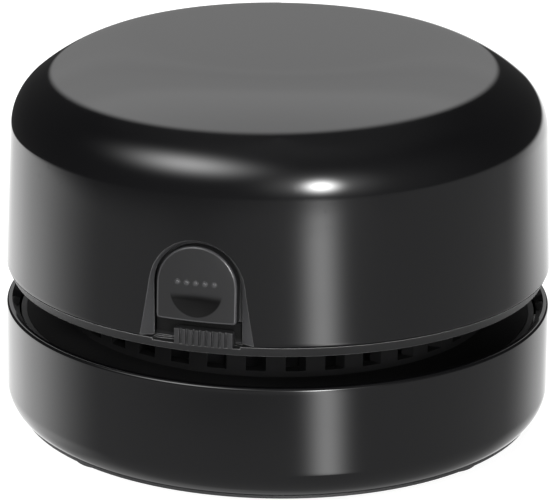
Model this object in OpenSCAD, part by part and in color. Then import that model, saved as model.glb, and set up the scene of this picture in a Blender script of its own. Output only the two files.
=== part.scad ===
// Desktop mini vacuum cleaner. A round dust bowl stands on four feet, the waist above it lets the
// air out, and a battery cover with an arch-shaped release button and a ribbed slide switch is on top.
// Millimetres, +Z up. The origin is on the table under the middle of the bowl; the button faces -Y.

/* [Dust bowl] */
// Outside diameter of the dust bowl
bowl_d = 85; // [82:1:96]
// Height of the bowl's rim above the table
rim_z = 18.9; // [18:0.1:24]
// Thickness of the bowl's wall
bowl_wall = 1.9; // [1.5:0.1:2.4]
// How much narrower the rim is than the widest part, on the radius
bowl_draft = 0.2; // [0:0.05:0.4]
// Radius of the bowl's rounded bottom edge
bowl_round = 4.8; // [3.6:0.1:5.6]
// Radius of the rim's outer edge
rim_round = 0.5; // [0.3:0.1:0.8]
// Width of the rim's flat top, inside that edge
rim_flat = 0.3; // [0.2:0.05:0.5]
// Thickness of the bowl's floor
floor_t = 1.5; // [1.2:0.1:2]

/* [Base plate] */
// Height of the rubber feet that show under the base plate
foot_h = 1.2; // [1:0.1:2]
// Diameter of a foot
foot_d = 10; // [8:0.5:11]
// Distance of a foot's middle from the centre
foot_out = 34.3; // [31:0.1:34.5]
// Angle between a front foot and the middle line of the feet
foot_spread = 48; // [40:1:56]
// Turn of the feet's middle line from the button
foot_turn = 16; // [0:1:30]
// Thickness of the base plate
plate_t = 1.5; // [1.3:0.1:2]
// Thickness of the plate's lip, which shows under the bowl
lip_t = 0.45; // [0.3:0.05:0.8]
// How far the lip lies inside the bowl's widest part
lip_inset = 2.1; // [1.8:0.1:2.6]
// Length of the suction mouth
mouth_l = 34; // [28:1:38]
// Width of the suction mouth
mouth_w = 10; // [8:0.5:13]
// Height of the chimney round the mouth, above the bowl's floor
chimney_h = 5.2; // [4:0.1:6]

/* [Brush] */
// Bristles along one row
brush_columns = 50; // [50:1:60]
// Rows of bristles in a strip
brush_rows = 3; // [3:1:3]
// Thickness of one bristle
bristle_t = 0.36; // [0.3:0.02:0.44]
// Gap from the table to the longest bristles
bristle_gap = 0.3; // [0.2:0.1:0.5]

/* [Waist] */
// Height of the open gap between the bowl's rim and the chassis
waist_gap = 4.54; // [4.4:0.02:6]
// How far the neck lies behind the cover's outside
neck_depth = 9; // [8.6:0.1:9.4]
// Thickness of the neck's wall
neck_wall = 1.8; // [1.4:0.1:2.2]
// Number of air slots in the neck
slots = 36; // [24:1:40]
// Width of an air slot
slot_w = 2.6; // [2:0.1:3]
// Slant of the vanes between the slots
vane_slant = 28; // [0:1:35]
// How far the neck's flange lies below the bowl's rim
flange_drop = 1.7; // [1.4:0.1:2]
// Thickness of the flange and of the fan deck
deck_t = 1.2; // [1:0.1:1.4]
// Number of bayonet lugs
lugs = 3; // [2:1:4]
// How far a lug reaches over its ledge
lug_bite = 0.8; // [0.6:0.1:1]

/* [Battery cover] */
// How far the cover's wall lies inside the bowl's widest part, at the seam
cover_step = 0.3; // [0:0.1:0.6]
// Height of the cover above the seam
cover_h = 34.86; // [34.6:0.1:42]
// Thickness of the cover's wall
cover_wall = 1.6; // [1.4:0.1:2]
// Draft of the cover's wall, in degrees
draft = 2.88; // [2:0.02:3.2]
// Depth from the top to where the wall starts to turn in
shoulder_drop = 13.3; // [12.9:0.1:13.8]
// Smaller radius of the shoulder, next to the wall
shoulder_r = 9.5; // [8.5:0.1:10.5]
// Larger radius of the shoulder, next to the flat top
crown_r = 28; // [26:0.5:34]

/* [Release button] */
// Width of the button
button_w = 11.84; // [10.8:0.1:12]
// Height of the button's lower edge above the seam
button_low = 3; // [2.8:0.1:3.4]
// Height of the button's top above the seam
button_top = 14.05; // [13.6:0.05:14.4]
// Travel of the button
button_travel = 1.3; // [1:0.1:1.4]
// Gap between the button and its arch window, at the sides
window_gap = 0.63; // [0.4:0.01:0.7]
// How far the arch's flared border reaches out at its foot
flare_low = 2.05; // [1.4:0.05:2.2]
// How far the flared border reaches out half way up
flare_mid = 0.85; // [0.6:0.05:1.1]
// How far the flared border reaches up at the top
flare_top = 0.4; // [0.3:0.05:0.6]
// Depth of the thumb dimple
dimple_depth = 0.8; // [0.4:0.1:0.9]

/* [Slide switch] */
// Width of the ribbed slide
slide_w = 8.6; // [8:0.1:9]
// Travel of the slide
slide_travel = 2.5; // [2:0.1:2.5]
// Number of ribs on the slide
slide_ribs = 9; // [7:1:10]
// Height of the slide's top above the seam
slide_top = 1.95; // [1.9:0.05:2.1]
// How far the slide's notch sinks into the chassis ring
slide_sink = 0.5; // [0.3:0.05:0.6]

/* [Chassis] */
// Height of the chassis ring that shows under the seam
ring_h = 1.5; // [1.3:0.05:2]
// How much narrower the ring is at its lower edge, on the radius
ring_bevel = 0.7; // [0.4:0.05:1]
// Thin gap between the ring and the cover
seam_gap = 0.16; // [0.1:0.02:0.3]
// Thickness of the chassis floor
chassis_t = 2.2; // [2:0.1:2.6]

/* [Motor and fan] */
// Diameter of the motor can
can_d = 20.1; // [19:0.1:20.4]
// Width of the motor can across its flats
can_flat = 15.1; // [14.8:0.1:15.4]
// Length of the motor can
can_l = 25; // [23:0.5:25.5]
// Diameter of the motor shaft
shaft_d = 2; // [1.8:0.1:2.2]
// Diameter of the fan wheel
fan_d = 42; // [36:1:46]
// Number of fan blades
blades = 9; // [7:1:11]
// Radius of a blade's curve
blade_curve = 17; // [15:0.5:20]
// Diameter of the fan's air eye
eye_d = 20; // [16:1:22]

/* [Cells and contacts] */
// Diameter of a cell
cell_d = 14.5; // [13.8:0.1:14.5]
// Length of a cell with its cap
cell_l = 50.5; // [49:0.5:50.5]
// Distance of a cell's axis from the middle
cell_x = 19; // [18.8:0.1:19.4]
// Thickness of the contact plates
contact_t = 0.4; // [0.3:0.05:0.5]
// Curls of a contact spring
curls = 3; // [2:1:3]
// Thickness of the contact spring's wire
spring_wire = 0.7; // [0.5:0.05:0.8]

/* [Clearances] */
// Running clearance of a shaft or guide pin, on the radius
run_gap = 0.06; // [0.02:0.01:0.1]
// Gap between parts that slide past each other
slip_gap = 0.3; // [0.25:0.05:0.4]
// Gap between parts that are fitted and stay put
fit_gap = 0.1; // [0.05:0.01:0.15]

/* [Hidden] */
$fn = 96;
big = 200;

// dust bowl
bowl_r = bowl_d / 2;
rim_r = bowl_r - bowl_draft;
lip_r = bowl_r - lip_inset;
bowl_low = foot_h + lip_t;
corner_x = bowl_r - bowl_round;
corner_z = bowl_low + sqrt(pow(bowl_round, 2) - pow(lip_r - corner_x, 2));
corner_start = -acos((lip_r - corner_x) / bowl_round);
bowl_in = rim_r - bowl_wall;
plate_top = foot_h + plate_t;
floor_z = plate_top + floor_t;
inner_round = 3;
recess_r = lip_r - 2.4;
chimney_wall = 1.4;
base_screw_out = 28;
base_screw_l = 4.8;
foot_pocket = 0.65 * lip_t;
brush_w = 2.4;
brush_l = mouth_l - 2;
brush_y = mouth_w / 2 + 1.2 + brush_w / 2;
brush_slice = 0.8;

// waist, bayonet and fan deck
cover_r = bowl_r - cover_step;
chassis_z = rim_z + waist_gap;
neck_r = cover_r - neck_depth;
flange_top = rim_z - flange_drop;
flange_z = flange_top - deck_t;
seal_w = 0.9;
flange_r = bowl_in - slip_gap - seal_w;
ledge_t = 1.5;
ledge_z = flange_z - slip_gap - ledge_t;
lug_t = 1.5;
lug_z = ledge_z - slip_gap - lug_t;
ledge_in = bowl_in - lug_bite - 2 * slip_gap;
skirt_r = ledge_in - slip_gap;
skirt_wall = 1.7;
skirt_z = lug_z - 1;
lug_r = bowl_in - slip_gap;
lug_a = 14;
ledge_a = 19;
stop_a = 2;
deck_r = neck_r - neck_wall - 1;
deck_lip_t = 1;
deck_lip_r = skirt_r - skirt_wall - 1.2;
boss_out = deck_r - 3.8;
boss_r = 2.6;
// a screw cuts its thread in a pilot hole; the shank is drawn as the thread's core
screw_r = 1.1;
pilot_r = screw_r - 0.2;
shank_r = pilot_r - fit_gap / 2;
screw_head_r = 2.1;
screw_head_h = 0.9;
collar_r = boss_out - screw_head_r - 0.5;
collar_wall = 1.2;
collar_z = flange_z - 3;

// filter
frame_r = collar_r - collar_wall - fit_gap;
frame_wall = 1.6;
frame_flange_t = 0.8;
cloth_t = 0.8;
spoke_t = 1;

// chassis and seam
ring_top = chassis_z + ring_h;
seam_z = ring_top + seam_gap;
ring_r = cover_r - 0.12;
chassis_top = chassis_z + chassis_t;
spigot_h = 2.6;
spigot_wall = 1.3;
spigot_clear = 0.4;

// cover: the wall leans in by the draft, then turns through two tangent arcs into the flat top
cover_top = seam_z + cover_h;
lean = [cos(draft), sin(draft)];
touch = [cover_r - (cover_h - shoulder_drop) * tan(draft), seam_z + cover_h - shoulder_drop];
shoulder_c = touch - shoulder_r * lean;
crown_rise = cover_top - crown_r;
crown_c = [
    shoulder_c[0] - sqrt(pow(crown_r - shoulder_r, 2) - pow(shoulder_c[1] - crown_rise, 2)),
    crown_rise
];
turn_a = atan2(shoulder_c[1] - crown_c[1], shoulder_c[0] - crown_c[0]);

// release button and its arch
button_r = button_w / 2;
button_arc_z = seam_z + button_top - button_r;
window_r = button_r + window_gap;
window_arc_z = seam_z + button_top + flare_top - window_r;
flare_in = cover_r - 1.7;
flare_out = cover_r - 0.9;
face_gap = 0.05;
flange_side = 1.2;
flange_back = cover_r - 3.6;
plate_back = cover_r - cover_wall - 0.7;
pin_r = 1.05;
pin_x = 5;
stem_r = 1.9;
stem_z = button_arc_z + 1.8;
bridge_front = flange_back - button_travel - 0.1;
bridge_t = 1.6;
bridge_x = 9;
bridge_h = 13.4;
arm_front = bridge_front - bridge_t - 1.2;
arm_t = 1.2;
arm_w = 4;
arm_foot_t = 1.2;
catch_z = seam_z + button_top + 3.2;
catch_t = 1.2;
catch_w = 6;
catch_in = flange_back - 0.7;
hook_bite = 0.7;
dimple_r = 3.9;
dimple_arc_z = seam_z + 7.6;
dimple_top = seam_z + 6.35;
pip_r = 0.32;
pip_z = seam_z + 8.7;
pip_pitch = 1.35;

// slide switch
slide_x = slide_travel / 2;
slide_z = seam_z - slide_sink + fit_gap;
slide_face = bowl_r - 0.1;
slide_back = cover_r - 1.45;
rib_depth = 0.35;
fascia_out = slide_back - slip_gap - 0.15;
fascia_wall = 1.1;
stem_low = chassis_top - 0.1;
stem_h = 1.1;
stem_w = 3.2;
case_w = 8.6;
case_h = seam_z + button_low - slip_gap - chassis_top;
case_front = fascia_out - fascia_wall - 0.7;
case_back = case_front - 3.6;
lever_w = 1.6;
lever_h = 0.7;

// motor, bracket and fan wheel
can_r = can_d / 2;
can_top = chassis_top + can_l;
cap_h = 2.3;
nose_r = 3.1;
nose_h = 1.4;
socket_wall = 1.5;
socket_h = 5;
bracket_t = 0.8;
bracket_w = 7;
post_y = 15.5;
post_h = 5.4;
fan_top = chassis_z - 0.75;
fan_plate_t = 0.9;
fan_low = flange_top + 0.4;
hub_r = 3.4;
blade_t = 0.9;
terminal_x = 5.2;
terminal_w = 2.3;
terminal_h = 4.6;
eyelet_r = 0.45;
shaft_bite = 13;

// cells and contacts
cell_r = cell_d / 2;
cradle_gap = 0.2;
cell_z = chassis_top + 0.6 + cell_r;
contact_y = (cell_l + 3.7) / 2;
wall_y = contact_y + contact_t + fit_gap;
end_wall_t = 1.4;
contact_w = 11;
spring_big = 4.2;
spring_small = 1.8;
spring_l = 2 * contact_y - cell_l;
wire_r = 0.6;

// ---------- helpers ----------

module pie(r, from, to) {
    middle = (from + to) / 2;
    intersection() {
        circle(r);
        polygon([
            [0, 0], 2 * r * [cos(from), sin(from)],
            2 * r * [cos(middle), sin(middle)], 2 * r * [cos(to), sin(to)]
        ]);
    }
}

// a ring of rectangular section, from radius a to b and height low to high
module band(a, b, low, high) {
    rotate_extrude() translate([a, low]) square([b - a, high - low]);
}

// the same over part of the circle
module arc_band(a, b, low, high, from, sweep) {
    rotate([0, 0, from]) rotate_extrude(angle = sweep) translate([a, low]) square([b - a, high - low]);
}

// a plain block between two corners
module block(low, high) {
    translate(low) cube(high - low);
}

// pushes a drawing of the front (x across, z up) back from y = -front to y = -back
module from_front(front, back) {
    translate([0, -back, 0]) rotate([90, 0, 0]) linear_extrude(front - back) children();
}

// an arch with a round head and straight legs, cut off flat at low
module arch(r, arc_z, low) {
    intersection() {
        union() {
            translate([0, arc_z]) circle(r);
            translate([-r, low - 1]) square([2 * r, arc_z - low + 1]);
        }
        translate([-r - 1, low]) square([2 * r + 2, big]);
    }
}

// a slot with round ends along X
module stadium(l, w) {
    square([l - w, w], center = true);
    for (side = [-1, 1]) translate([side * (l - w) / 2, 0]) circle(w / 2);
}

// a round tube along a list of points
function unit(v) = v / norm(v);
function tube_ring(path, i, r, sides, ref) =
    let (
        last = len(path) - 1,
        along = unit(path[min(i + 1, last)] - path[max(i - 1, 0)]),
        side = unit(cross(along, ref)),
        up = cross(along, side)
    )
    [for (k = [0:sides - 1]) path[i] + r * (cos(360 * k / sides) * side + sin(360 * k / sides) * up)];

module tube(path, r, sides, ref = [0, 0, 1]) {
    rings = len(path);
    points = [for (i = [0:rings - 1]) each tube_ring(path, i, r, sides, ref)];
    skin = [
        for (i = [0:rings - 2], k = [0:sides - 1])
            let (a = i * sides + k, b = i * sides + (k + 1) % sides)
            each [[a, a + sides, b], [b, a + sides, b + sides]]
    ];
    start = [for (k = [0:sides - 1]) k];
    end = [for (k = [0:sides - 1]) (rings - 1) * sides + sides - 1 - k];
    polyhedron(points = points, faces = concat(skin, [start, end]));
}

// a smooth path through a few points
function between(a, b, c, d, t) =
    0.5 * (2 * b + (c - a) * t + (2 * a - 5 * b + 4 * c - d) * t * t + (3 * b - a - 3 * c + d) * t * t * t);
function smooth_path(p, steps) = [
    for (i = [0:len(p) - 2], s = [0:steps - 1])
        between(p[max(i - 1, 0)], p[i], p[i + 1], p[min(i + 2, len(p) - 1)], s / steps),
    p[len(p) - 1]
];

// ---------- dust bowl and base ----------

// the bowl's outside, turned round the axis
module bowl_section() {
    rim_c = [rim_r - rim_round, rim_z - rim_round];
    polygon([
        [0, bowl_low], [lip_r, bowl_low], [bowl_r, corner_z],
        [rim_r, rim_c[1]], [rim_c[0], rim_z], [0, rim_z]
    ]);
    translate([corner_x, corner_z]) pie(bowl_round, corner_start, 0);
    translate(rim_c) pie(rim_round, 0, 90);
}

// the bowl's hollow, with a round foot to its wall and a funnel up to the thin rim
module bowl_hollow() {
    polygon([
        [0, floor_z], [bowl_in - inner_round, floor_z], [bowl_in, floor_z + inner_round],
        [bowl_in, flange_top + 0.2], [rim_r - rim_round - rim_flat, rim_z],
        [rim_r - rim_round - rim_flat, rim_z + 1], [0, rim_z + 1]
    ]);
    translate([bowl_in - inner_round, floor_z + inner_round]) pie(inner_round, -90, 0);
}

module bayonet_ledges() {
    for (i = [0:lugs - 1]) {
        start = i * 360 / lugs - stop_a;
        arc_band(ledge_in, bowl_in + 0.4, ledge_z, ledge_z + ledge_t, start, ledge_a + stop_a);
        arc_band(ledge_in, bowl_in + 0.4, lug_z, ledge_z + 0.1, start, stop_a);
    }
}

module base_screw_places() {
    for (i = [0:2]) rotate([0, 0, foot_turn + 120 * i]) translate([base_screw_out, 0, 0]) children();
}

module dust_bowl() {
    color([0.03, 0.03, 0.035]) difference() {
        union() {
            difference() {
                rotate_extrude() bowl_section();
                rotate_extrude() bowl_hollow();
                translate([0, 0, bowl_low - 1])
                    cylinder(r = recess_r + fit_gap, h = plate_top - bowl_low + 1);
            }
            bayonet_ledges();
            base_screw_places() translate([0, 0, floor_z - 0.5]) cylinder(r = boss_r, h = 3.7);
        }
        translate([0, 0, plate_top - 1]) linear_extrude(big) stadium(mouth_l, mouth_w);
        base_screw_places() translate([0, 0, plate_top - 1]) cylinder(r = pilot_r, h = floor_t + 3);
    }
}

// the chimney that keeps the crumbs from falling back out, welded to the floor round the mouth
module mouth_chimney() {
    color([0.05, 0.05, 0.055]) translate([0, 0, floor_z]) linear_extrude(chimney_h) difference() {
        stadium(mouth_l + 2 * chimney_wall, mouth_w + 2 * chimney_wall);
        stadium(mouth_l, mouth_w);
    }
}

// where the feet stand: two in front and two behind the middle line
module foot_places() {
    for (a = [foot_spread, -foot_spread, 180 - foot_spread, 180 + foot_spread])
        rotate([0, 0, foot_turn + a]) translate([0, -foot_out, 0]) children();
}

module base_plate() {
    color([0.05, 0.05, 0.055]) difference() {
        union() {
            translate([0, 0, foot_h]) cylinder(r = lip_r, h = lip_t);
            translate([0, 0, foot_h]) cylinder(r = recess_r, h = plate_t);
        }
        translate([0, 0, foot_h - 1]) linear_extrude(big) stadium(mouth_l, mouth_w);
        foot_places() translate([0, 0, foot_h - 1]) cylinder(r = foot_d / 2 + fit_gap, h = 1 + foot_pocket);
        for (side = [-1, 1]) translate([0, side * brush_y, foot_h - 1])
            linear_extrude(1 + brush_slice + 0.2)
                square([brush_l + 2 * fit_gap, brush_w + 2 * fit_gap], center = true);
        base_screw_places() {
            translate([0, 0, foot_h - 1]) cylinder(r = screw_r + fit_gap, h = big);
            translate([0, 0, foot_h - 1]) cylinder(r = screw_head_r + fit_gap, h = 1 + 0.9);
        }
    }
}

// rows of straight bristles under a slice of their backing, a little uneven in length
module brush_strips() {
    pitch = [(brush_l - 1) / (brush_columns - 1), (brush_w - 0.9) / (brush_rows - 1)];
    middle = [(brush_columns - 1) / 2, (brush_rows - 1) / 2];
    color([0.12, 0.12, 0.13]) for (side = [-1, 1]) translate([0, side * brush_y, 0]) union() {
        translate([-brush_l / 2, -brush_w / 2, foot_h + 0.2]) cube([brush_l, brush_w, brush_slice]);
        for (group = [0:2]) translate([0, 0, bristle_gap + 0.15 * group])
            linear_extrude(foot_h + 0.3 - bristle_gap - 0.15 * group)
                for (i = [0:brush_columns - 1], j = [0:brush_rows - 1])
                    if ((i * 7 + j * 5 + (side + 1) / 2) % 3 == group)
                        translate([(i - middle[0]) * pitch[0], (j - middle[1]) * pitch[1]])
                            square(bristle_t, center = true);
    }
}

module rubber_feet() {
    color([0.02, 0.02, 0.02]) foot_places() rotate_extrude() polygon([
        [0, 0], [foot_d / 2 - 0.4, 0], [foot_d / 2, 0.4], [foot_d / 2, foot_h + foot_pocket],
        [0, foot_h + foot_pocket]
    ]);
}

// a cross-head screw, its head down at z = 0 and its shank rising
module screw(l) {
    difference() {
        union() {
            cylinder(r = screw_head_r, h = screw_head_h);
            cylinder(r = shank_r, h = l);
        }
        for (a = [0, 90]) rotate([0, 0, a]) translate([-1.3, -0.2, -0.1]) cube([2.6, 0.4, 0.6]);
    }
}

module base_screws() {
    color([0.6, 0.6, 0.62]) base_screw_places() translate([0, 0, foot_h]) screw(base_screw_l);
}

// ---------- main unit ----------

module deck_boss_places() {
    for (i = [0:2]) rotate([0, 0, 90 + 120 * i]) translate([boss_out, 0, 0]) children();
}

module motor_outline(grow) {
    intersection() {
        circle(can_r + grow);
        square([can_flat + 2 * grow, can_d + 2 * grow], center = true);
    }
}

module post_places() {
    for (side = [-1, 1]) translate([0, side * post_y, 0]) children();
}

// the ring that shows, the floor and the low wall that the cover goes over
module chassis_disc() {
    rotate_extrude() polygon([
        [0, chassis_z], [ring_r - ring_bevel, chassis_z], [ring_r, ring_top],
        [cover_r - cover_wall - spigot_clear, ring_top], [cover_r - cover_wall - spigot_clear, chassis_top],
        [0, chassis_top]
    ]);
    spigot_out = cover_r - cover_wall - spigot_clear;
    band(spigot_out - spigot_wall, spigot_out, chassis_top - 0.1, chassis_top + spigot_h);
}

// three saddles under each cell and a wall at each end
module cell_cradle() {
    for (y = [-16, 0, 16]) difference() {
        block([cell_x - 8.2, y - 0.75, chassis_top - 0.1], [cell_x + 8.2, y + 0.75, cell_z - 2.2]);
        translate([cell_x, -big / 2, cell_z]) rotate([-90, 0, 0])
            cylinder(r = cell_r + cradle_gap, h = big);
    }
    for (side = [-1, 1]) difference() {
        block(
            [cell_x - 6.5, side * (wall_y + end_wall_t / 2) - end_wall_t / 2, chassis_top - 0.1],
            [cell_x + 6, side * (wall_y + end_wall_t / 2) + end_wall_t / 2, cell_z + 4.6]
        );
        for (rise = [-8, 5]) translate([cell_x + rise, -big / 2, cell_z + 6])
            rotate([-90, 0, 0]) cylinder(r = 3, h = big);
    }
}

// the wall behind the button that its pins run in, open below for the switch
module button_bridge() {
    difference() {
        block([-bridge_x, -bridge_front, chassis_top - 0.1],
            [bridge_x, -bridge_front + bridge_t, chassis_top + bridge_h]);
        block([-case_w / 2 - 1.2, -big, chassis_top], [case_w / 2 + 1.2, 0, chassis_top + case_h + 0.7]);
        for (side = [-1, 1]) translate([side * pin_x, -big / 2, button_arc_z])
            rotate([-90, 0, 0]) cylinder(r = pin_r + run_gap, h = big);
        translate([0, -big / 2, stem_z]) rotate([-90, 0, 0]) cylinder(r = stem_r + slip_gap, h = big);
    }
    // a gusset behind each end
    for (side = [-1, 1]) translate([side * bridge_x - 0.6, 0, 0]) rotate([90, 0, 90]) linear_extrude(1.2)
        polygon([
            [-bridge_front + 0.4, chassis_top - 0.1], [-bridge_front + 6, chassis_top - 0.1],
            [-bridge_front + 6, chassis_top + 0.6], [-bridge_front + 1.2, chassis_top + bridge_h - 1],
            [-bridge_front + 0.4, chassis_top + bridge_h - 1]
        ]);
}

module chassis() {
    color([0.06, 0.06, 0.065]) difference() {
        union() {
            difference() {
                chassis_disc();
                block([-bridge_x - 1.5, -big, chassis_top], [bridge_x + 1.5, -bridge_front + 0.4, big]);
            }
            intersection() {
                band(fascia_out - fascia_wall, fascia_out, chassis_top - 0.1, seam_z + button_low - 0.2);
                block([-window_r + fit_gap, -big, 0], [window_r - fit_gap, 0, big]);
            }
            for (side = [0, 180]) rotate([0, 0, side]) cell_cradle();
            button_bridge();
            translate([0, 0, chassis_top - 0.1]) linear_extrude(socket_h + 0.1)
                motor_outline(socket_wall + fit_gap);
            post_places() translate([0, 0, chassis_top - 0.1]) cylinder(r = 3, h = post_h + 0.1);
            deck_boss_places() translate([0, 0, chassis_top - 0.1]) cylinder(r = boss_r, h = 0.5);
        }
        translate([0, 0, chassis_top]) linear_extrude(big) motor_outline(fit_gap);
        translate([0, 0, chassis_z - 1]) cylinder(r = nose_r + fit_gap, h = big);
        post_places() translate([0, 0, chassis_top + 0.8]) cylinder(r = pilot_r, h = big);
        deck_boss_places() translate([0, 0, chassis_z - 1]) cylinder(r = pilot_r, h = chassis_t + 0.9);
        latch_screw_place() translate([0, 0, chassis_z + 0.6]) cylinder(r = pilot_r, h = big);
        // notch for the slide and slot for its stem
        block([-window_r, -big, seam_z - slide_sink], [window_r, -fascia_out, big]);
        block([-stem_w / 2 - slide_x - slip_gap, -big, stem_low - 0.15],
            [stem_w / 2 + slide_x + slip_gap, -case_front, stem_low + stem_h + 0.15]);
    }
}

// the neck with its slanted vanes, the flange under it and the skirt with the bayonet lugs
module vent_ring() {
    slot_low = flange_top + 0.9;
    slot_high = chassis_z - 0.7;
    color([0.04, 0.04, 0.045]) {
        difference() {
            band(neck_r - neck_wall, neck_r, flange_z, chassis_z);
            for (i = [0:slots - 1]) rotate([0, 0, i * 360 / slots])
                translate([neck_r - neck_wall / 2, 0, slot_low]) rotate([0, 0, vane_slant])
                    translate([-3, -slot_w / 2, 0]) cube([6, slot_w, slot_high - slot_low]);
        }
        band(deck_r + fit_gap, flange_r, flange_z, flange_top);
        difference() {
            union() {
                band(skirt_r - skirt_wall, skirt_r, skirt_z, flange_z + 0.1);
                for (i = [0:lugs - 1])
                    arc_band(skirt_r - 0.5, lug_r, lug_z, lug_z + lug_t, i * 360 / lugs + 1, lug_a);
            }
            // relief cuts beside each lug let the skirt give a little
            for (i = [0:lugs - 1], side = [-2.5, lug_a + 2])
                arc_band(skirt_r - skirt_wall - 1, skirt_r + 1, skirt_z - 1, lug_z + lug_t,
                    i * 360 / lugs + side, 2);
        }
    }
}

module bowl_seal() {
    color([0.08, 0.08, 0.08]) difference() {
        band(flange_r + 0.02, flange_r + seal_w, flange_z + 0.1, flange_top - 0.1);
        translate([0, 0, (flange_z + flange_top) / 2]) rotate_extrude()
            translate([flange_r + seal_w + 0.25, 0]) circle(0.4);
    }
}

// the plate under the fan wheel: a rounded air eye, a collar for the filter and three bosses
module fan_deck() {
    eye_r = eye_d / 2;
    color([0.06, 0.06, 0.065]) difference() {
        union() {
            translate([0, 0, flange_z]) cylinder(r = deck_r, h = deck_t);
            band(deck_r - 2, deck_lip_r, flange_z - deck_lip_t, flange_z);
            band(collar_r - collar_wall, collar_r, collar_z, flange_z + 0.1);
            rotate_extrude() translate([eye_r + 0.8, flange_z]) intersection() {
                translate([0, deck_t / 2]) circle(1.4);
                translate([-0.8, -0.8]) square([2, deck_t + 0.8]);
            }
            deck_boss_places() translate([0, 0, flange_z]) cylinder(r = boss_r, h = chassis_z - flange_z);
        }
        translate([0, 0, flange_z - 5]) cylinder(r = eye_r, h = 10);
        deck_boss_places() {
            translate([0, 0, flange_z - 2]) cylinder(r = screw_r + fit_gap, h = 20);
            translate([0, 0, flange_z - 3]) cylinder(r = screw_head_r + fit_gap, h = 3 + 0.4);
        }
    }
}

module deck_screws() {
    color([0.6, 0.6, 0.62]) deck_boss_places() translate([0, 0, flange_z - 0.5])
        screw(chassis_z - flange_z + 2.4);
}

// a ring with six curved spokes that plugs into the collar of the fan deck
module filter_frame() {
    low = collar_z - frame_flange_t;
    color([0.75, 0.76, 0.78]) difference() {
        union() {
            band(frame_r - frame_wall, frame_r, low, flange_z - fit_gap);
            band(frame_r - frame_wall, collar_r + 0.8, low, collar_z);
            translate([0, 0, low]) cylinder(r = 4, h = spoke_t);
            translate([0, 0, low]) linear_extrude(spoke_t) intersection() {
                circle(frame_r - 0.5);
                for (i = [0:5]) rotate([0, 0, 60 * i]) translate([0, frame_r / 2 + 1]) difference() {
                    circle(frame_r / 2 + 1.2);
                    circle(frame_r / 2);
                }
            }
        }
        // two finger notches to pull the frame out
        for (side = [-1, 1]) translate([side * (collar_r + 1), 0, low - 1])
            cylinder(r = 2.2, h = 1 + frame_flange_t);
    }
}

module filter_cloth() {
    color([0.9, 0.9, 0.88]) translate([0, 0, collar_z - frame_flange_t + spoke_t])
        cylinder(r = frame_r - frame_wall - fit_gap, h = cloth_t);
}

module motor_can() {
    color([0.7, 0.7, 0.72]) difference() {
        union() {
            translate([0, 0, chassis_top]) linear_extrude(can_l) motor_outline(0);
            translate([0, 0, chassis_top - nose_h]) cylinder(r = nose_r, h = nose_h + 0.1);
        }
        translate([0, 0, chassis_top - nose_h - 1]) cylinder(r = shaft_d / 2 + run_gap, h = 15);
        // air holes beside the shaft and windows in the flats
        for (side = [-1, 1]) {
            translate([0, side * 6.4, chassis_top + can_l - 5]) cylinder(r = 1, h = 6);
            translate([side * (can_flat / 2), 0, chassis_top + can_l - 9]) cube([1, 5, 4], center = true);
        }
    }
}

module motor_end_cap() {
    color([0.93, 0.93, 0.9]) difference() {
        union() {
            translate([0, 0, can_top]) linear_extrude(cap_h - 0.8) motor_outline(-0.3);
            translate([0, 0, can_top]) cylinder(r = 5, h = cap_h);
        }
        for (side = [-1, 1]) translate([side * terminal_x, 0, can_top])
            cube([0.7, terminal_w + 0.2, 20], center = true);
    }
}

module motor_terminals() {
    color([0.85, 0.65, 0.3]) for (side = [-1, 1]) difference() {
        translate([side * terminal_x, 0, can_top + terminal_h / 2])
            cube([0.5, terminal_w, terminal_h], center = true);
        translate([side * terminal_x, 0, can_top + terminal_h - 2 * eyelet_r]) rotate([0, 90, 0])
            cylinder(r = eyelet_r, h = 4, center = true);
    }
}

// a steel strap over the motor's end, screwed to two posts
module motor_bracket() {
    top = can_top + cap_h + fit_gap;
    side_y = can_r + 0.2;
    tab_z = chassis_top + post_h;
    reach = side_y + bracket_t;
    color([0.75, 0.75, 0.77]) difference() {
        union() {
            block([-bracket_w / 2, -reach, top], [bracket_w / 2, reach, top + bracket_t]);
            for (side = [-1, 1]) {
                block([-bracket_w / 2, side * (side_y + bracket_t / 2) - bracket_t / 2, tab_z],
                    [bracket_w / 2, side * (side_y + bracket_t / 2) + bracket_t / 2, top + bracket_t / 2]);
                block([-bracket_w / 2, side * post_y - (side > 0 ? post_y - side_y : 3), tab_z],
                    [bracket_w / 2, side * post_y + (side > 0 ? 3 : post_y - side_y), tab_z + bracket_t]);
            }
        }
        post_places() translate([0, 0, tab_z - 1]) cylinder(r = screw_r + fit_gap, h = 3);
        translate([0, 0, top - 1]) cylinder(r = 1.6, h = 4);
    }
}

module latch_screw_place() {
    translate([0, -arm_front + 4.2, 0]) children();
}

// two for the bracket and one for the latch arm, heads up
module small_screws() {
    color([0.6, 0.6, 0.62]) {
        post_places() translate([0, 0, chassis_top + post_h + bracket_t + screw_head_h])
            mirror([0, 0, 1]) screw(5.2);
        latch_screw_place() translate([0, 0, chassis_top + arm_foot_t + screw_head_h])
            mirror([0, 0, 1]) screw(3.2);
    }
}

// ---------- cells and contacts ----------

// a cell along +Y with its cap at the far end, its middle at the origin
module cell() {
    edge = 0.6;
    cap_h2 = 1;
    half = cell_l / 2;
    rotate([-90, 0, 0]) rotate_extrude() polygon([
        [0, -half], [cell_r - edge, -half], [cell_r, -half + edge], [cell_r, half - cap_h2 - edge],
        [cell_r - edge, half - cap_h2], [2.7, half - cap_h2], [2.7, half], [0, half]
    ]);
}

module left_cell() {
    color([0.2, 0.45, 0.3]) translate([-cell_x, -spring_l / 2, cell_z]) rotate([0, 0, 180]) cell();
}

module right_cell() {
    color([0.2, 0.45, 0.3]) translate([cell_x, spring_l / 2, cell_z]) cell();
}

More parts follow.
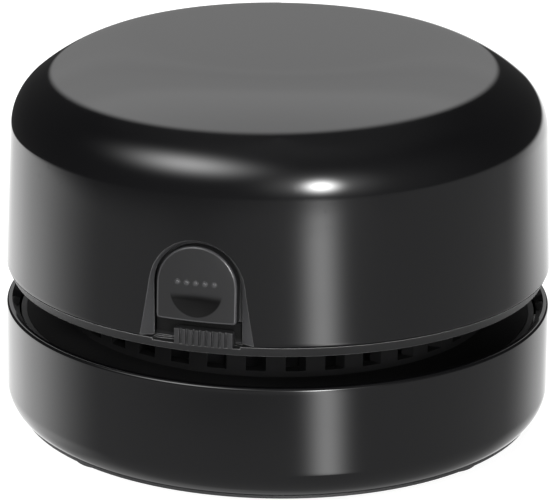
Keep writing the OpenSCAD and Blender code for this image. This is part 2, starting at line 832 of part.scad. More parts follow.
// a contact plate standing in front of an end wall
module contact_plate(x, side) {
    edge = side > 0 ? contact_y : -contact_y - contact_t;
    block([x - contact_w / 2, edge, chassis_top + fit_gap],
        [x + contact_w / 2, edge + contact_t, cell_z + 4]);
    block([x - 1.5, edge, cell_z], [x + 1.5, edge + contact_t, cell_z + 7.2]);
}

// joins the two cells at the front
module bridge_contact() {
    color([0.8, 0.8, 0.78]) {
        for (side = [-1, 1]) contact_plate(side * cell_x, -1);
        block([-cell_x, -contact_y - contact_t, chassis_top + fit_gap],
            [cell_x, -contact_y, chassis_top + 1.5]);
    }
}

module end_contacts() {
    color([0.8, 0.8, 0.78]) for (side = [-1, 1]) contact_plate(side * cell_x, 1);
}

// the cone spring winds from its plate down to the cell's flat end
function spring_points(steps) =
    let (run = spring_l - spring_wire)
    [
        for (i = [0:curls * steps])
            let (t = i / (curls * steps), r = spring_big + (spring_small - spring_big) * t)
            [r * cos(360 * i / steps), spring_wire / 2 + run * t, r * sin(360 * i / steps)]
    ];
spring_path = spring_points(8);
spring_least = min([
    for (i = [0:len(spring_path) - 1], j = [0:len(spring_path) - 1])
        if (j - i > 4) norm(spring_path[i] - spring_path[j])
]) - spring_wire;
echo(contact_spring_least_gap_mm = spring_least);

module contact_springs() {
    color([0.85, 0.85, 0.86]) for (turn = [0, 180]) rotate([0, 0, turn])
        translate([cell_x, -contact_y, cell_z]) tube(spring_path, spring_wire / 2, 6, [0, 1, 0]);
}

// ---------- switch, wires and latch ----------

module switch_case() {
    color([0.65, 0.66, 0.68]) difference() {
        union() {
            block([-case_w / 2, -case_front, chassis_top + fit_gap],
                [case_w / 2, -case_back, chassis_top + case_h]);
            for (side = [-1, 1]) block([side * 3.2 - 0.4, -case_back - 0.1, chassis_top + case_h - 0.6],
                [side * 3.2 + 0.4, -case_back + 1.1, chassis_top + case_h - 0.1]);
        }
        block([-lever_w / 2 - slide_x - 0.2, -big, chassis_top + fit_gap - 1],
            [lever_w / 2 + slide_x + 0.2, -case_front + 0.8, stem_low + stem_h + 0.1]);
    }
}

// each wire's route, as points chosen by hand
wire_from_left_contact = [
    [-19, 28.4, 41.2], [-18, 30.6, 41.8], [-14, 31.5, 39], [-10.6, 28.6, 32], [-10, 18, 28.6],
    [-10, 0, 28.2], [-10, -18, 28.4], [-7.2, -29, 28.4], [-4, -32, 28], [-3.2, -33.2, 27.6]
];
wire_from_right_contact = [
    [19, 28.4, 41.2], [17.5, 29.4, 43.4], [13.6, 24, 47], [9.4, 13, 52.6], [7.4, 4, 55.6], [6.25, 0.4, 54.6]
];
wire_to_switch = [
    [-6.25, 0.4, 54.6], [-7.4, -3, 55.4], [-9.8, -10, 51], [-9.8, -17, 40], [-6, -26.5, 33],
    [0, -28.4, 30.4], [5, -30.6, 28.8], [3.2, -33.2, 27.6]
];

module lead_wires() {
    color([0.6, 0.1, 0.1]) tube(smooth_path(wire_from_left_contact, 3), wire_r, 8, [0.2, 0.1, 1]);
    color([0.05, 0.05, 0.05]) tube(smooth_path(wire_from_right_contact, 3), wire_r, 8, [0.2, 0.1, 1]);
    color([0.6, 0.1, 0.1]) tube(smooth_path(wire_to_switch, 3), wire_r, 8, [0.2, 0.1, 1]);
}

// a springy arm with a hook over the cover's catch; the button's stem pushes it back
module latch_arm() {
    hook_z = catch_z + catch_t + slip_gap;
    color([0.1, 0.1, 0.11]) difference() {
        union() {
            block([-arm_w / 2, -arm_front, chassis_top], [arm_w / 2, -arm_front + arm_t, hook_z + 1.2]);
            block([-4, -arm_front, chassis_top], [4, -arm_front + 6.6, chassis_top + arm_foot_t]);
            translate([-arm_w / 2, 0, 0]) rotate([90, 0, 90]) linear_extrude(arm_w) polygon([
                [-arm_front + arm_t, hook_z], [-catch_in - hook_bite, hook_z],
                [-catch_in - hook_bite, hook_z + 0.4], [-catch_in, hook_z + 1.2],
                [-arm_front + arm_t, hook_z + 1.2]
            ]);
        }
        latch_screw_place() translate([0, 0, chassis_top - 1]) cylinder(r = screw_r + fit_gap, h = 4);
    }
}

// ---------- rotor ----------

module motor_shaft() {
    color([0.8, 0.8, 0.82]) translate([0, 0, fan_low])
        cylinder(r = shaft_d / 2, h = chassis_top + shaft_bite - fan_low - nose_h);
}

// one blade, drawn as the part of a thin ring that lies within the wheel
module blade() {
    start = hub_r + 1.2;
    half = (fan_d / 2 - start) / 2;
    intersection() {
        translate([start + half, 2 - sqrt(pow(blade_curve, 2) - pow(half, 2))]) difference() {
            circle(blade_curve);
            circle(blade_curve - blade_t);
        }
        translate([0, -4]) square([fan_d, 20]);
    }
}

// back plate above, hub below, and swept blades that get lower towards the rim
module fan_wheel() {
    blade_top = fan_top - fan_plate_t + 0.1;
    fan_r = fan_d / 2;
    color([0.85, 0.86, 0.88]) difference() {
        union() {
            translate([0, 0, fan_top - fan_plate_t]) cylinder(r = fan_r, h = fan_plate_t);
            translate([0, 0, fan_low + 0.4]) cylinder(r = hub_r, h = fan_top - fan_low - 0.4);
            rotate_extrude() polygon([
                [0, blade_top], [hub_r + 4.5, blade_top], [hub_r - 0.4, fan_low + 1], [0, fan_low + 1]
            ]);
            intersection() {
                translate([0, 0, fan_low]) linear_extrude(blade_top - fan_low) intersection() {
                    difference() {
                        circle(fan_r);
                        circle(hub_r + 1.4);
                    }
                    for (i = [0:blades - 1]) rotate([0, 0, i * 360 / blades]) blade();
                }
                rotate_extrude() polygon([
                    [0, fan_low + 0.6], [eye_d / 2 - 1, fan_low + 0.6], [eye_d / 2 + 1, fan_low],
                    [fan_r + 1, fan_low + 1.3], [fan_r + 1, fan_top], [0, fan_top]
                ]);
            }
        }
        translate([0, 0, fan_low - 1]) cylinder(r = shaft_d / 2 + 0.02, h = 20);
    }
}

// ---------- cover ----------

// the cover's outline moved inward by inset, from the axis out
module cover_section(inset) {
    foot = [cover_r - inset / cos(draft), seam_z];
    side = shoulder_c + (shoulder_r - inset) * lean;
    turn = shoulder_c + (shoulder_r - inset) * [cos(turn_a), sin(turn_a)];
    polygon([
        [0, seam_z], foot, side, turn, [crown_c[0], cover_top - inset], [0, cover_top - inset]
    ]);
    // each arc runs on a little inside the next curve, so that the three pieces overlap
    translate(shoulder_c) pie(shoulder_r - inset, draft - 10, turn_a + 10);
    translate(crown_c) pie(crown_r - inset, turn_a, 95);
}

module cover_solid(inset) {
    rotate_extrude() cover_section(inset);
}

// the flared border's outline: t is 0 at the window's edge and 1 at the cover's face
module flare_outline(t) {
    foot = window_r + flare_low * t;
    hull() {
        translate([0, window_arc_z - (flare_mid - flare_top) * t])
            circle(window_r + flare_mid * t, $fn = 48);
        polygon([[-foot, seam_z - 1], [foot, seam_z - 1], [0, seam_z]]);
    }
}

module cover_shell() {
    rib_low = cell_z + cell_r + 0.5;
    color([0.03, 0.03, 0.035]) difference() {
        union() {
            rotate_extrude() difference() {
                cover_section(0);
                cover_section(cover_wall);
                translate([0, seam_z - 1]) square([cover_r - 3, 2]);
            }
            intersection() {
                cover_solid(cover_wall / 2);
                union() {
                    // the catch that the latch hook holds
                    block([-catch_w / 2, -big, catch_z], [catch_w / 2, -catch_in, catch_z + catch_t]);
                    // ribs over the cells
                    for (x = [-cell_x, cell_x], y = [-12, 12])
                        block([x - 3.5, y - 0.6, rib_low], [x + 3.5, y + 0.6, big]);
                }
            }
        }
        from_front(big, 0.7 * cover_r) arch(window_r, window_arc_z, seam_z - 5);
        // the border is cut a little past both of its edges
        hull() for (t = [-0.35, 2]) {
            y = flare_in + (flare_out - flare_in) * t;
            from_front(y + 0.2, y) flare_outline(t);
        }
    }
}

// ---------- controls ----------

module release_button() {
    low = seam_z + button_low;
    sphere_r = (pow(dimple_r, 2) + pow(dimple_depth, 2)) / (2 * dimple_depth);
    face = cover_r - (dimple_top - seam_z) * tan(draft);
    color([0.09, 0.09, 0.095]) union() {
        difference() {
            union() {
                intersection() {
                    from_front(big / 2, plate_back) arch(button_r, button_arc_z, low);
                    cover_solid(face_gap);
                }
                intersection() {
                    from_front(big / 2, flange_back) arch(button_r + flange_side, button_arc_z, low);
                    cover_solid(cover_wall + slip_gap);
                }
                intersection() {
                    from_front(big / 2, flange_back) arch(button_r, button_arc_z, low);
                    cover_solid(cover_wall - 0.4);
                }
            }
            intersection() {
                translate([0, -face + dimple_depth - sphere_r, dimple_arc_z]) sphere(r = sphere_r);
                block([-big, -big, 0], [big, 0, dimple_top]);
            }
        }
        // a row of grip pips over the dimple
        for (i = [-2:2]) translate([i * pip_pitch, -face + 0.25, pip_z]) rotate([90, 0, 0])
            cylinder(r = pip_r, h = 0.4);
        for (side = [-1, 1]) translate([side * pin_x, -flange_back - 0.1, button_arc_z]) rotate([-90, 0, 0])
            cylinder(r = pin_r, h = flange_back - arm_front - 0.5);
        translate([0, -flange_back - 0.1, stem_z]) rotate([-90, 0, 0])
            cylinder(r = stem_r, h = flange_back - arm_front + 0.1 - slip_gap);
    }
}

// the ribbed thumb piece, shown at its right-hand stop
module slide_button() {
    left = slide_x - slide_w / 2;
    pitch = slide_w / slide_ribs;
    top = seam_z + slide_top;
    // the grooves all end at one depth, measured where the curved face lies farthest back
    groove_back = sqrt(pow(slide_face, 2) - pow(slide_x + slide_w / 2, 2)) - rib_depth;
    color([0.1, 0.1, 0.105]) union() {
        intersection() {
            difference() {
                block([left, -big, slide_z], [left + slide_w, -slide_back, top]);
                for (i = [1:slide_ribs - 1]) translate([left + i * pitch, 0, 0])
                    block([-pitch * 0.22, -big, slide_z + 0.25], [pitch * 0.22, -groove_back, top + 1]);
            }
            cylinder(r = slide_face, h = big);
        }
        difference() {
            block([slide_x - stem_w / 2, -slide_back - 0.1, stem_low],
                [slide_x + stem_w / 2, -case_front - 0.25, stem_low + stem_h]);
            block([slide_x - lever_w / 2 - 0.05, -slide_back + 0.6, stem_low - 1],
                [slide_x + lever_w / 2 + 0.05, 0, stem_low + stem_h + 1]);
        }
    }
}

// the switch's own lever, held in the fork of the thumb piece's stem
module switch_lever() {
    color([0.02, 0.02, 0.02]) block([slide_x - lever_w / 2, -slide_back + 0.65, stem_low + 0.2],
        [slide_x + lever_w / 2, -case_front + 0.6, stem_low + 0.2 + lever_h]);
}

dust_bowl();
mouth_chimney();
base_plate();
brush_strips();
rubber_feet();
base_screws();
chassis();
vent_ring();
bowl_seal();
fan_deck();
deck_screws();
filter_frame();
filter_cloth();
motor_can();
motor_end_cap();
motor_terminals();
motor_bracket();
small_screws();
left_cell();
right_cell();
bridge_contact();
end_contacts();
contact_springs();
switch_case();
lead_wires();
latch_arm();
motor_shaft();
fan_wheel();
cover_shell();
release_button();
slide_button();
switch_lever();
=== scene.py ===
# %% [markdown]
# # A battery-powered desk vacuum in gloss black
#
# The object is a low drum: a domed battery cover on top, a narrow dark waist where the air leaves,
# and a dust bowl below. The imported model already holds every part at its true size, so this
# notebook gives each part its finish and remodels the parts whose edges and textures the eye
# rests on. Sizes are in millimetres while a piece is drawn, and metres once it is an object.

import math
import random

import bmesh
import bpy
from mathutils import Matrix, Vector


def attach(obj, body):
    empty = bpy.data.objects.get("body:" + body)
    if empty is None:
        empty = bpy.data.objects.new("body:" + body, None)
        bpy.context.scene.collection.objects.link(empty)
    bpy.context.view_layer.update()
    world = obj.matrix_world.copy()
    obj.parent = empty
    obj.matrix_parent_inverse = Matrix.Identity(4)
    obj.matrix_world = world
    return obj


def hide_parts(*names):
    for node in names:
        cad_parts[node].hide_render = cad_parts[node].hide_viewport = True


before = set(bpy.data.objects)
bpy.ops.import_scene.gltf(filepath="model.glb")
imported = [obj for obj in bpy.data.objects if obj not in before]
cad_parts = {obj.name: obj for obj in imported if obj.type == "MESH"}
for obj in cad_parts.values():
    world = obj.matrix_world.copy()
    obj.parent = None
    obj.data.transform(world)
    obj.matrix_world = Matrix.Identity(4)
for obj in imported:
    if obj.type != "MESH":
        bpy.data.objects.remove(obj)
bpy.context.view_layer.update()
print("nodes in the packed model:", len(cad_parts))

# %% [markdown]
# ## Camera
#
# A camera is placed by three directions: where it looks from, what is right and what is up.
# The picture was taken from a little right of the button and 18 degrees above the desk, with a long
# lens, so the round edges look like flat ellipses. A small shift puts the middle of the object
# beside the middle of the picture without turning the camera.

# %% The camera's directions, place and lens
def add_object(name, data):
    """Puts a new object into the scene."""
    made = bpy.data.objects.new(name, data)
    bpy.context.scene.collection.objects.link(made)
    return made


turn, tilt, roll = math.radians(16.1), math.radians(18.34), -0.010247
toward = Vector((math.sin(turn) * math.cos(tilt), -math.cos(turn) * math.cos(tilt), math.sin(tilt)))
right = Vector((math.cos(turn), math.sin(turn), 0))
upward = toward.cross(right)
level = Vector((math.sin(turn), -math.cos(turn), 0))

camera_x = right * math.cos(roll) - upward * math.sin(roll)
camera_y = right * math.sin(roll) + upward * math.cos(roll)
aim, distance = Vector((0, 0, 0.0251)), 0.4045
place = aim + toward * distance
focal_length, picture_width = 168.8, 552
lens = bpy.data.cameras.new("camera")
lens.sensor_width, lens.lens = 36, focal_length
lens.shift_x, lens.shift_y = -2.19 / picture_width, 3.51 / picture_width
lens.clip_start, lens.clip_end = 0.01, 20
camera = add_object("camera", lens)
camera.matrix_world = Matrix((
    (camera_x.x, camera_y.x, toward.x, place.x),
    (camera_x.y, camera_y.y, toward.y, place.y),
    (camera_x.z, camera_y.z, toward.z, place.z),
    (0, 0, 0, 1),
))
bpy.context.scene.camera = camera
bpy.context.scene.view_settings.view_transform = "Standard"
print("the camera stands", round(place.length * 1000), "mm away")

# %% [markdown]
# ## Writing materials as sums
#
# A material is a board of nodes joined by wires. Wiring each one by hand hides the idea, so two
# small helpers do it. `Signal` is one output socket: adding or multiplying signals adds the Math
# nodes. `Board.node` adds any other node from its type, its settings and what feeds its sockets.

# %% Signal: one value on its way through the nodes
def sums(operation):
    """The two methods behind one operator: signal first, and signal second."""
    return (lambda self, other: self.board.number(operation, self, other),
            lambda self, other: self.board.number(operation, other, self))


class Signal:
    __add__, __radd__ = sums("ADD")
    __sub__, __rsub__ = sums("SUBTRACT")
    __mul__, __rmul__ = sums("MULTIPLY")
    __truediv__, __rtruediv__ = sums("DIVIDE")
    __pow__, __rpow__ = sums("POWER")

    def __init__(self, board, socket):
        self.board, self.socket = board, socket

    def __neg__(self):
        return self * -1.0


# %% Board: a node tree that is wired by calls
class Board:
    def __init__(self, tree):
        self.tree = tree

    def feed(self, socket, value):
        if isinstance(value, Signal):
            self.tree.links.new(value.socket, socket)
        else:
            socket.default_value = value

    def node(self, kind, settings=None, inputs=None, output=0):
        node = self.tree.nodes.new(kind)
        for name, value in (settings or {}).items():
            setattr(node, name, value)
        for name, value in (inputs or {}).items():
            self.feed(node.inputs[name], value)
        return Signal(self, node.outputs[output])

    def number(self, operation, *values):
        return self.node("ShaderNodeMath", {"operation": operation}, dict(enumerate(values)))

    def ease(self, value, low, high):
        """0 below low, 1 above high, and a soft step between; high may be the smaller one."""
        if low > high:
            return 1 - self.ease(value, high, low)
        return self.node("ShaderNodeMapRange", {"interpolation_type": "SMOOTHSTEP"},
                         {"Value": value, "From Min": low, "From Max": high})

    def dot(self, vector, direction):
        return self.node("ShaderNodeVectorMath", {"operation": "DOT_PRODUCT"},
                         {0: vector, 1: tuple(direction)}, "Value")

    def blend(self, share, a, b):
        """A colour between a and b; colours go through Mix, because Math would turn them grey."""
        return self.node("ShaderNodeMix", {"data_type": "RGBA"},
                         {0: share, 6: rgba(a), 7: rgba(b)}, 2)


def rgba(colour):
    return colour if isinstance(colour, Signal) else (*colour, 1)


# %% [markdown]
# ## Light
#
# Gloss black has almost no colour of its own: what is seen is the studio in it. So the studio is
# drawn as a function of direction. Five things show in the reflections: a large panel over and
# behind the object that greys the flat top and ends in a crisp line on the shoulder, a soft lamp to
# the left, a small hard one to the right, the dim room, and the pale desk itself.

# %% The studio as a function of direction
world = bpy.data.worlds.new("studio")
world.use_nodes = True
bpy.context.scene.world = world
studio = Board(world.node_tree)
world.node_tree.nodes.clear()

ray = studio.node("ShaderNodeTexCoord", output="Generated")
to_right, to_level = studio.dot(ray, right), studio.dot(ray, level)
height, facing = studio.dot(ray, (0, 0, 1)), studio.dot(ray, toward)
azimuth = studio.number("ARCTAN2", to_right, to_level) * (180 / math.pi)
elevation = studio.number("ARCSINE", height) * (180 / math.pi)


def lamp(azimuth_at, elevation_at, azimuth_spread, elevation_spread, strength):
    """A soft round patch of light in one direction, in degrees from the camera."""
    across = (azimuth - azimuth_at) / azimuth_spread
    along = (elevation - elevation_at) / elevation_spread
    return studio.number("EXPONENT", (across * across + along * along) * -0.5) * strength


# %% The panel above
# a point of a glossy surface mirrors the direction whose halfway line to the camera is its normal,
# so the panel's edge is drawn at a slant of that normal: it lands as one clean ring on the dome
half_length = studio.number("SQRT", 2 * facing + 2.0001)
half_height = (height + toward.z) / half_length
half_right = to_right / half_length
slant = studio.number("SQRT", (facing + 1.0001) / 2)
# a clear skin mirrors more at a slant: dividing by that share keeps the panel one even grey
mirror = 0.04 + 0.96 * (1 - slant) ** 5
even = 0.98 - 0.1 * (studio.ease(slant, 0.34, 0.44) - studio.ease(slant, 0.52, 0.6))
panel_grey, panel_tilt, panel_from, panel_to = 0.118, 0.038, 0.815, 0.836
panel = studio.ease(half_height - panel_tilt * half_right, panel_from, panel_to)
panel = panel * even * (panel_grey / mirror)
print("studio nodes with the panel:", len(world.node_tree.nodes))

# %% The room and the lamps
# the room is dim, and dimmer still beside and behind the object
aside = studio.number("ABSOLUTE", azimuth)
room = 0.05 + 0.11 * studio.ease(aside, 110, 10) + 0.12 * studio.ease(elevation, 38, 72)
room = room + lamp(50, 4, 20, 22, strength=0.1)
lamp_azimuth = 17.2
soft_lamp = lamp(-43, 36, 17, 9.5, strength=7.8)
hard_lamp = lamp(lamp_azimuth, 9.2, 4.2, 6.0, strength=40.0)
hard_lamp = hard_lamp + lamp(lamp_azimuth, 11, 12, 11, strength=2.4)
print("studio nodes with the lamps:", len(world.node_tree.nodes))

# %% What lies below the horizon: the pale desk, as the upright walls mirror it
# grey in front, paler towards both sides, with one narrow bright strip to the right of the button
low_down = studio.ease(elevation, -14, -19.5)
fade = 1 - 0.85 * studio.ease(elevation, -26, -46)
left_side = studio.ease(-azimuth, 76, 121) * (1.15 + 0.3 * low_down)
left_side = left_side - studio.ease(-azimuth, 136, 160) * 0.35
right_side = studio.ease(azimuth, 108, 142) * (1.16 - 0.47 * low_down)
strip_width, strip_light = 5.0, 4.1
strip_middle = lamp_azimuth - 0.44 * (elevation + 12.5)
off = (azimuth - strip_middle) / strip_width
strip = studio.number("EXPONENT", off * off * -0.5) * strip_light
strip = strip * studio.ease(elevation, -11.4, -11.8) * studio.ease(elevation, -24, -21.8)
dip = lamp(-15, -19.6, 26, 0.6, strength=0.15) + lamp(-34, -11.8, 9, 1.2, strength=0.1)
# straight behind the object both sides meet in one even tone, so that no seam shows there
rear = studio.ease(aside, 146, 176)
sides = (left_side + right_side) * (1 - rear) + rear * 0.95
desk_light = 0.44 + sides * fade + strip - dip
print("studio nodes with the desk:", len(world.node_tree.nodes))

# %% Where the desk ends and the room begins
to_left, to_far_right = studio.number("MINIMUM", azimuth, 0.0), studio.ease(azimuth, 40, 110)
edge = -11.3 + 0.0175 * to_left + 5.0 * to_far_right
softness = 0.4 + 2.0 * studio.ease(azimuth, 30, 80)
below = studio.ease((edge - elevation) / softness, -1, 1)
light = (room + panel + soft_lamp) * (1 - below) + desk_light * below + hard_lamp

backdrop_grey = (0.93, 0.93, 0.93)
seen = studio.node("ShaderNodeLightPath", output="Is Camera Ray")
backdrop = studio.node("ShaderNodeBackground", inputs={"Color": rgba(backdrop_grey)})
lit = studio.node("ShaderNodeBackground", inputs={"Color": (1, 1, 1, 1), "Strength": light})
both = studio.node("ShaderNodeMixShader", inputs={0: seen, 1: lit, 2: backdrop})
studio.feed(world.node_tree.nodes.new("ShaderNodeOutputWorld").inputs["Surface"], both)
print("studio nodes:", len(world.node_tree.nodes))

# %% [markdown]
# ## The desk
#
# The desk is a plain pale sheet that glows a little, so that it stays as white as in a catalogue
# picture, and it takes a faint shadow. It is clear from below, which lets a view from underneath
# show the base. Mirrors look past it, into the studio drawn above, which has its own desk.

# %% A pale sheet that is seen only from above
bm = bmesh.new()
desk_half = 3.0
bmesh.ops.create_grid(bm, x_segments=1, y_segments=1, size=desk_half)
desk_mesh = bpy.data.meshes.new("desk")
bm.to_mesh(desk_mesh)
bm.free()
desk = add_object("desk", desk_mesh)
desk.visible_glossy = False

paper = bpy.data.materials.new("desk")
paper.use_nodes = True
paper.node_tree.nodes.clear()
board = Board(paper.node_tree)
shine = board.node("ShaderNodeEmission", inputs={"Color": (1, 1, 1, 1), "Strength": 0.9})
matt = board.node("ShaderNodeBsdfDiffuse", inputs={"Color": (0.4, 0.4, 0.4, 1)})
top_side = board.node("ShaderNodeAddShader", inputs={0: shine, 1: matt})
under_side = board.node("ShaderNodeBsdfTransparent")
facing_away = board.node("ShaderNodeNewGeometry", output="Backfacing")
both = board.node("ShaderNodeMixShader", inputs={0: facing_away, 1: top_side, 2: under_side})
board.feed(paper.node_tree.nodes.new("ShaderNodeOutputMaterial").inputs["Surface"], both)
desk_mesh.materials.append(paper)
print("the desk is", desk.dimensions.x, "m wide")

# %% [markdown]
# ## Finishes
#
# Every finish starts from the principled shader. What is the same all over sits on its own sockets.
# What varies is roughness, a little colour and the surface's relief. Real edges are never razor
# sharp, and their tiny radius catches light, so each plastic asks for rounded normals.

# %% Finish: one material with its relief
class Finish(Board):
    def __init__(self, name, colour, roughness, metallic=0.0, edge_mm=0.0, **sockets):
        self.material = bpy.data.materials.new(name)
        self.material.use_nodes = True
        super().__init__(self.material.node_tree)
        self.shader = self.tree.nodes["Principled BSDF"]
        self.normal = None
        if edge_mm:
            self.normal = self.node("ShaderNodeBevel", {"samples": 6}, {"Radius": edge_mm / 1000})
        self.set("Base Color", rgba(colour))
        self.set("Roughness", roughness)
        self.set("Metallic", metallic)
        for socket, value in sockets.items():
            self.set(socket.replace("_", " "), value)
        self.spot = self.node("ShaderNodeTexCoord", output="Object")
        self.material.diffuse_color = rgba(colour)

    def set(self, socket, value):
        self.feed(self.shader.inputs[socket], value)
        return self

    def noise(self, size_mm, detail=2.0, stretch=(1, 1, 1)):
        """Soft random spots about size_mm wide, from 0 to 1."""
        where = self.node("ShaderNodeMapping", inputs={"Vector": self.spot, "Scale": stretch})
        return self.node("ShaderNodeTexNoise", inputs={
            "Vector": where, "Scale": 500 / size_mm, "Detail": detail, "Roughness": 0.5}, output="Fac")

    def relief(self, rise, depth_mm):
        """Raises the surface by rise, a signal from 0 to 1, times the depth."""
        feeds = {"Height": rise, "Distance": depth_mm / 1000, "Strength": 1.0}
        if self.normal is not None:
            feeds["Normal"] = self.normal
        self.normal = self.node("ShaderNodeBump", inputs=feeds)
        return self

    def done(self):
        if self.normal is not None:
            self.set("Normal", self.normal)
        return self.material


# %% [markdown]
# ### Gloss and satin plastic
#
# The cover and the bowl are polished: a very dark body under a clear skin. Handling leaves faint
# smears, which change only how sharply the skin mirrors. The button, the slide and the ring are
# moulded in a finely etched tool, so they scatter light from grains a sixth of a millimetre wide.

# %% Polished black
def polished_black(name, edge_mm=0.16):
    finish = Finish(name, (0.003, 0.003, 0.0034), 0.05, edge_mm=edge_mm, IOR=1.5)
    smears = finish.ease(finish.noise(9, 3, (1, 1, 2.5)), 0.42, 0.78)
    dust = finish.ease(finish.noise(0.5, 1), 0.66, 0.8)
    return finish.set("Roughness", 0.045 + 0.035 * smears + 0.04 * dust).done()


# %% Etched black, from satin to nearly dull
# hands polish a satin part on its edges first, so where the rounded normal leaves the true one
# the finish turns smoother; it is also painted paler there, a painted highlight of the rounded edge
def etched_black(name, shade, roughness, grain_mm=0.16, grain_depth=0.012, edge_mm=0.14, shine=0.5,
                 painted_edge_highlight=0.0):
    tone = (shade, shade, shade * 1.04)
    finish = Finish(name, tone, roughness, edge_mm=edge_mm, Specular_IOR_Level=shine)
    grain = finish.noise(grain_mm, 2)
    cloud = finish.noise(7, 3)
    colour = finish.blend(finish.ease(cloud, 0.45, 0.75), tone, tuple(1.35 * c for c in tone))
    rough = roughness - 0.05 + 0.1 * grain + 0.06 * cloud
    if painted_edge_highlight:
        true = finish.node("ShaderNodeNewGeometry", output="Normal")
        agree = finish.node("ShaderNodeVectorMath", {"operation": "DOT_PRODUCT"},
                            {0: finish.normal, 1: true}, "Value")
        # the paler edge colour is a painted highlight; the smoother edge is wear
        edge_wear_and_highlight = finish.ease(agree, 0.985, 0.86)
        colour = finish.blend(edge_wear_and_highlight, colour, (painted_edge_highlight,) * 3)
        rough = rough - 0.12 * edge_wear_and_highlight
    finish.set("Base Color", colour)
    finish.set("Roughness", rough)
    return finish.relief(grain, grain_depth).done()


# %% Painted shade: a second, darker finish inside a first one
def painted_shade_inlay(material, where, shade, roughness, shine):
    """Where the mask is 1, the surface is a plain dark one, painted shade; the mask is a function of x, y,
    z in mm.
    """
    board = Board(material.node_tree)
    nodes = material.node_tree.nodes
    spot = board.node("ShaderNodeTexCoord", output="Object")
    axes = board.node("ShaderNodeSeparateXYZ", inputs={"Vector": spot})
    place = [Signal(board, axes.socket.node.outputs[i]) * 1000 for i in range(3)]
    first = Signal(board, nodes["Principled BSDF"].outputs["BSDF"])
    second = board.node("ShaderNodeBsdfPrincipled", inputs={
        "Base Color": (shade, shade, shade, 1), "Roughness": roughness, "Specular IOR Level": shine})
    both = board.node("ShaderNodeMixShader", inputs={0: where(board, *place), 1: first, 2: second})
    board.feed(nodes["Material Output"].inputs["Surface"], both)
    return material


# %% Rubber, with a chalky bloom
def rubber(name, colour):
    finish = Finish(name, colour, 0.75, edge_mm=0.2)
    bloom = finish.ease(finish.noise(2.4, 4), 0.4, 0.75)
    finish.set("Base Color", finish.blend(bloom, colour, tuple(min(1, 1.5 * c + 0.015) for c in colour)))
    finish.set("Roughness", 0.68 + 0.2 * bloom)
    return finish.relief(finish.noise(0.25, 3), 0.03).done()


# %% Pale moulded plastic
def pale_plastic(name, colour, roughness=0.38):
    finish = Finish(name, colour, roughness, edge_mm=0.12)
    flow = finish.noise(5, 3, (1, 1, 0.3))
    yellowed = tuple(c * k for c, k in zip(colour, (0.93, 0.91, 0.84)))
    finish.set("Base Color", finish.blend(finish.ease(flow, 0.4, 0.8), colour, yellowed))
    finish.set("Roughness", roughness - 0.06 + 0.14 * flow)
    return finish.relief(finish.noise(0.3, 2), 0.006).done()


# %% [markdown]
# ### Metals
#
# Plated steel is a mirror with fine marks. On strip they run along the strip, on a drawn can
# they run round and up, so the noise is stretched that way. Zinc has a grain of pale and dark
# crystals. Tarnish dulls all of them in soft clouds.

# %% Plated or brushed metal
def plated(name, colour, roughness, stretch=(1, 1, 1), mark_mm=0.3, mark_depth=0.004):
    finish = Finish(name, colour, roughness, metallic=1.0, edge_mm=0.06)
    marks = finish.noise(mark_mm, 3, stretch)
    clouds = finish.noise(4, 4)
    dull = tuple(0.72 * c for c in colour)
    finish.set("Base Color", finish.blend(finish.ease(clouds, 0.4, 0.8), colour, dull))
    finish.set("Roughness", roughness + 0.12 * marks + 0.12 * clouds)
    return finish.relief(marks, mark_depth).done()


# %% The jacket of a cell: a plain printed film
def cell_jacket(name, colour):
    finish = Finish(name, colour, 0.28, edge_mm=0.2, Coat_Weight=0.35, Coat_Roughness=0.12)
    film = finish.noise(3, 3, (1, 0.15, 1))
    finish.set("Base Color", finish.blend(film, colour, tuple(0.75 * c for c in colour)))
    finish.set("Roughness", 0.24 + 0.14 * film)
    return finish.relief(finish.noise(1.2, 2, (1, 0.2, 1)), 0.008).done()


# %% Non-woven cloth: short fibres lying in every direction
def felted_cloth(name):
    finish = Finish(name, (0.82, 0.82, 0.78), 0.95, Sheen_Weight=0.25, Sheen_Roughness=0.5)
    one_way = finish.noise(0.16, 3, (1, 0.16, 1))
    other_way = finish.noise(0.16, 3, (0.16, 1, 1))
    fibres = finish.number("MAXIMUM", one_way, other_way)
    dusty = finish.ease(finish.noise(8, 4), 0.45, 0.75)
    cloth = finish.blend(dusty, (0.82, 0.82, 0.78), (0.6, 0.59, 0.55))
    finish.set("Base Color", finish.blend(finish.ease(fibres, 0.3, 0.6), (0.5, 0.5, 0.47), cloth))
    finish.set("Roughness", 0.85 + 0.12 * fibres)
    return finish.relief(fibres, 0.12).done()


# %% Two masks for painted shade
scoop_z, scoop_r = 32.7, 3.9


def shade_behind_window(board, x, y, z):
    """The chassis inside the cover's wall, above its ring: it is seen only through the window, and painted
    darker there as the shade of that recess.
    """
    return board.ease(board.number("SQRT", x * x + y * y), 41.6, 41.3) * board.ease(z, 25.3, 25.6)


def shade_in_the_scoop(board, x, y, z):
    """The lower half of the button's thumb scoop, which lies in its own shade: it is painted darker as that
    shade.
    """
    out = board.number("SQRT", x * x + (z - scoop_z) ** 2)
    return board.ease(out, scoop_r + 0.1, scoop_r - 0.1) * board.ease(z, 32.3, 31.2)


# %% Make the finishes once, so that pieces can share them
gloss = polished_black("polished_black")
bowl_gloss = polished_black("polished_bowl", edge_mm=0)
# the chassis is painted darker behind the window, as painted shade, and its edges get a painted highlight
satin = painted_shade_inlay(etched_black("satin_black", 0.011, 0.42, shine=0.32, painted_edge_highlight=0.25),
              shade_behind_window, shade=0.006, roughness=0.6, shine=0.12)
# the border's edges get a painted highlight
border_finish = etched_black("satin_border", 0.034, 0.55, edge_mm=0.2, shine=0.05, painted_edge_highlight=0.26)
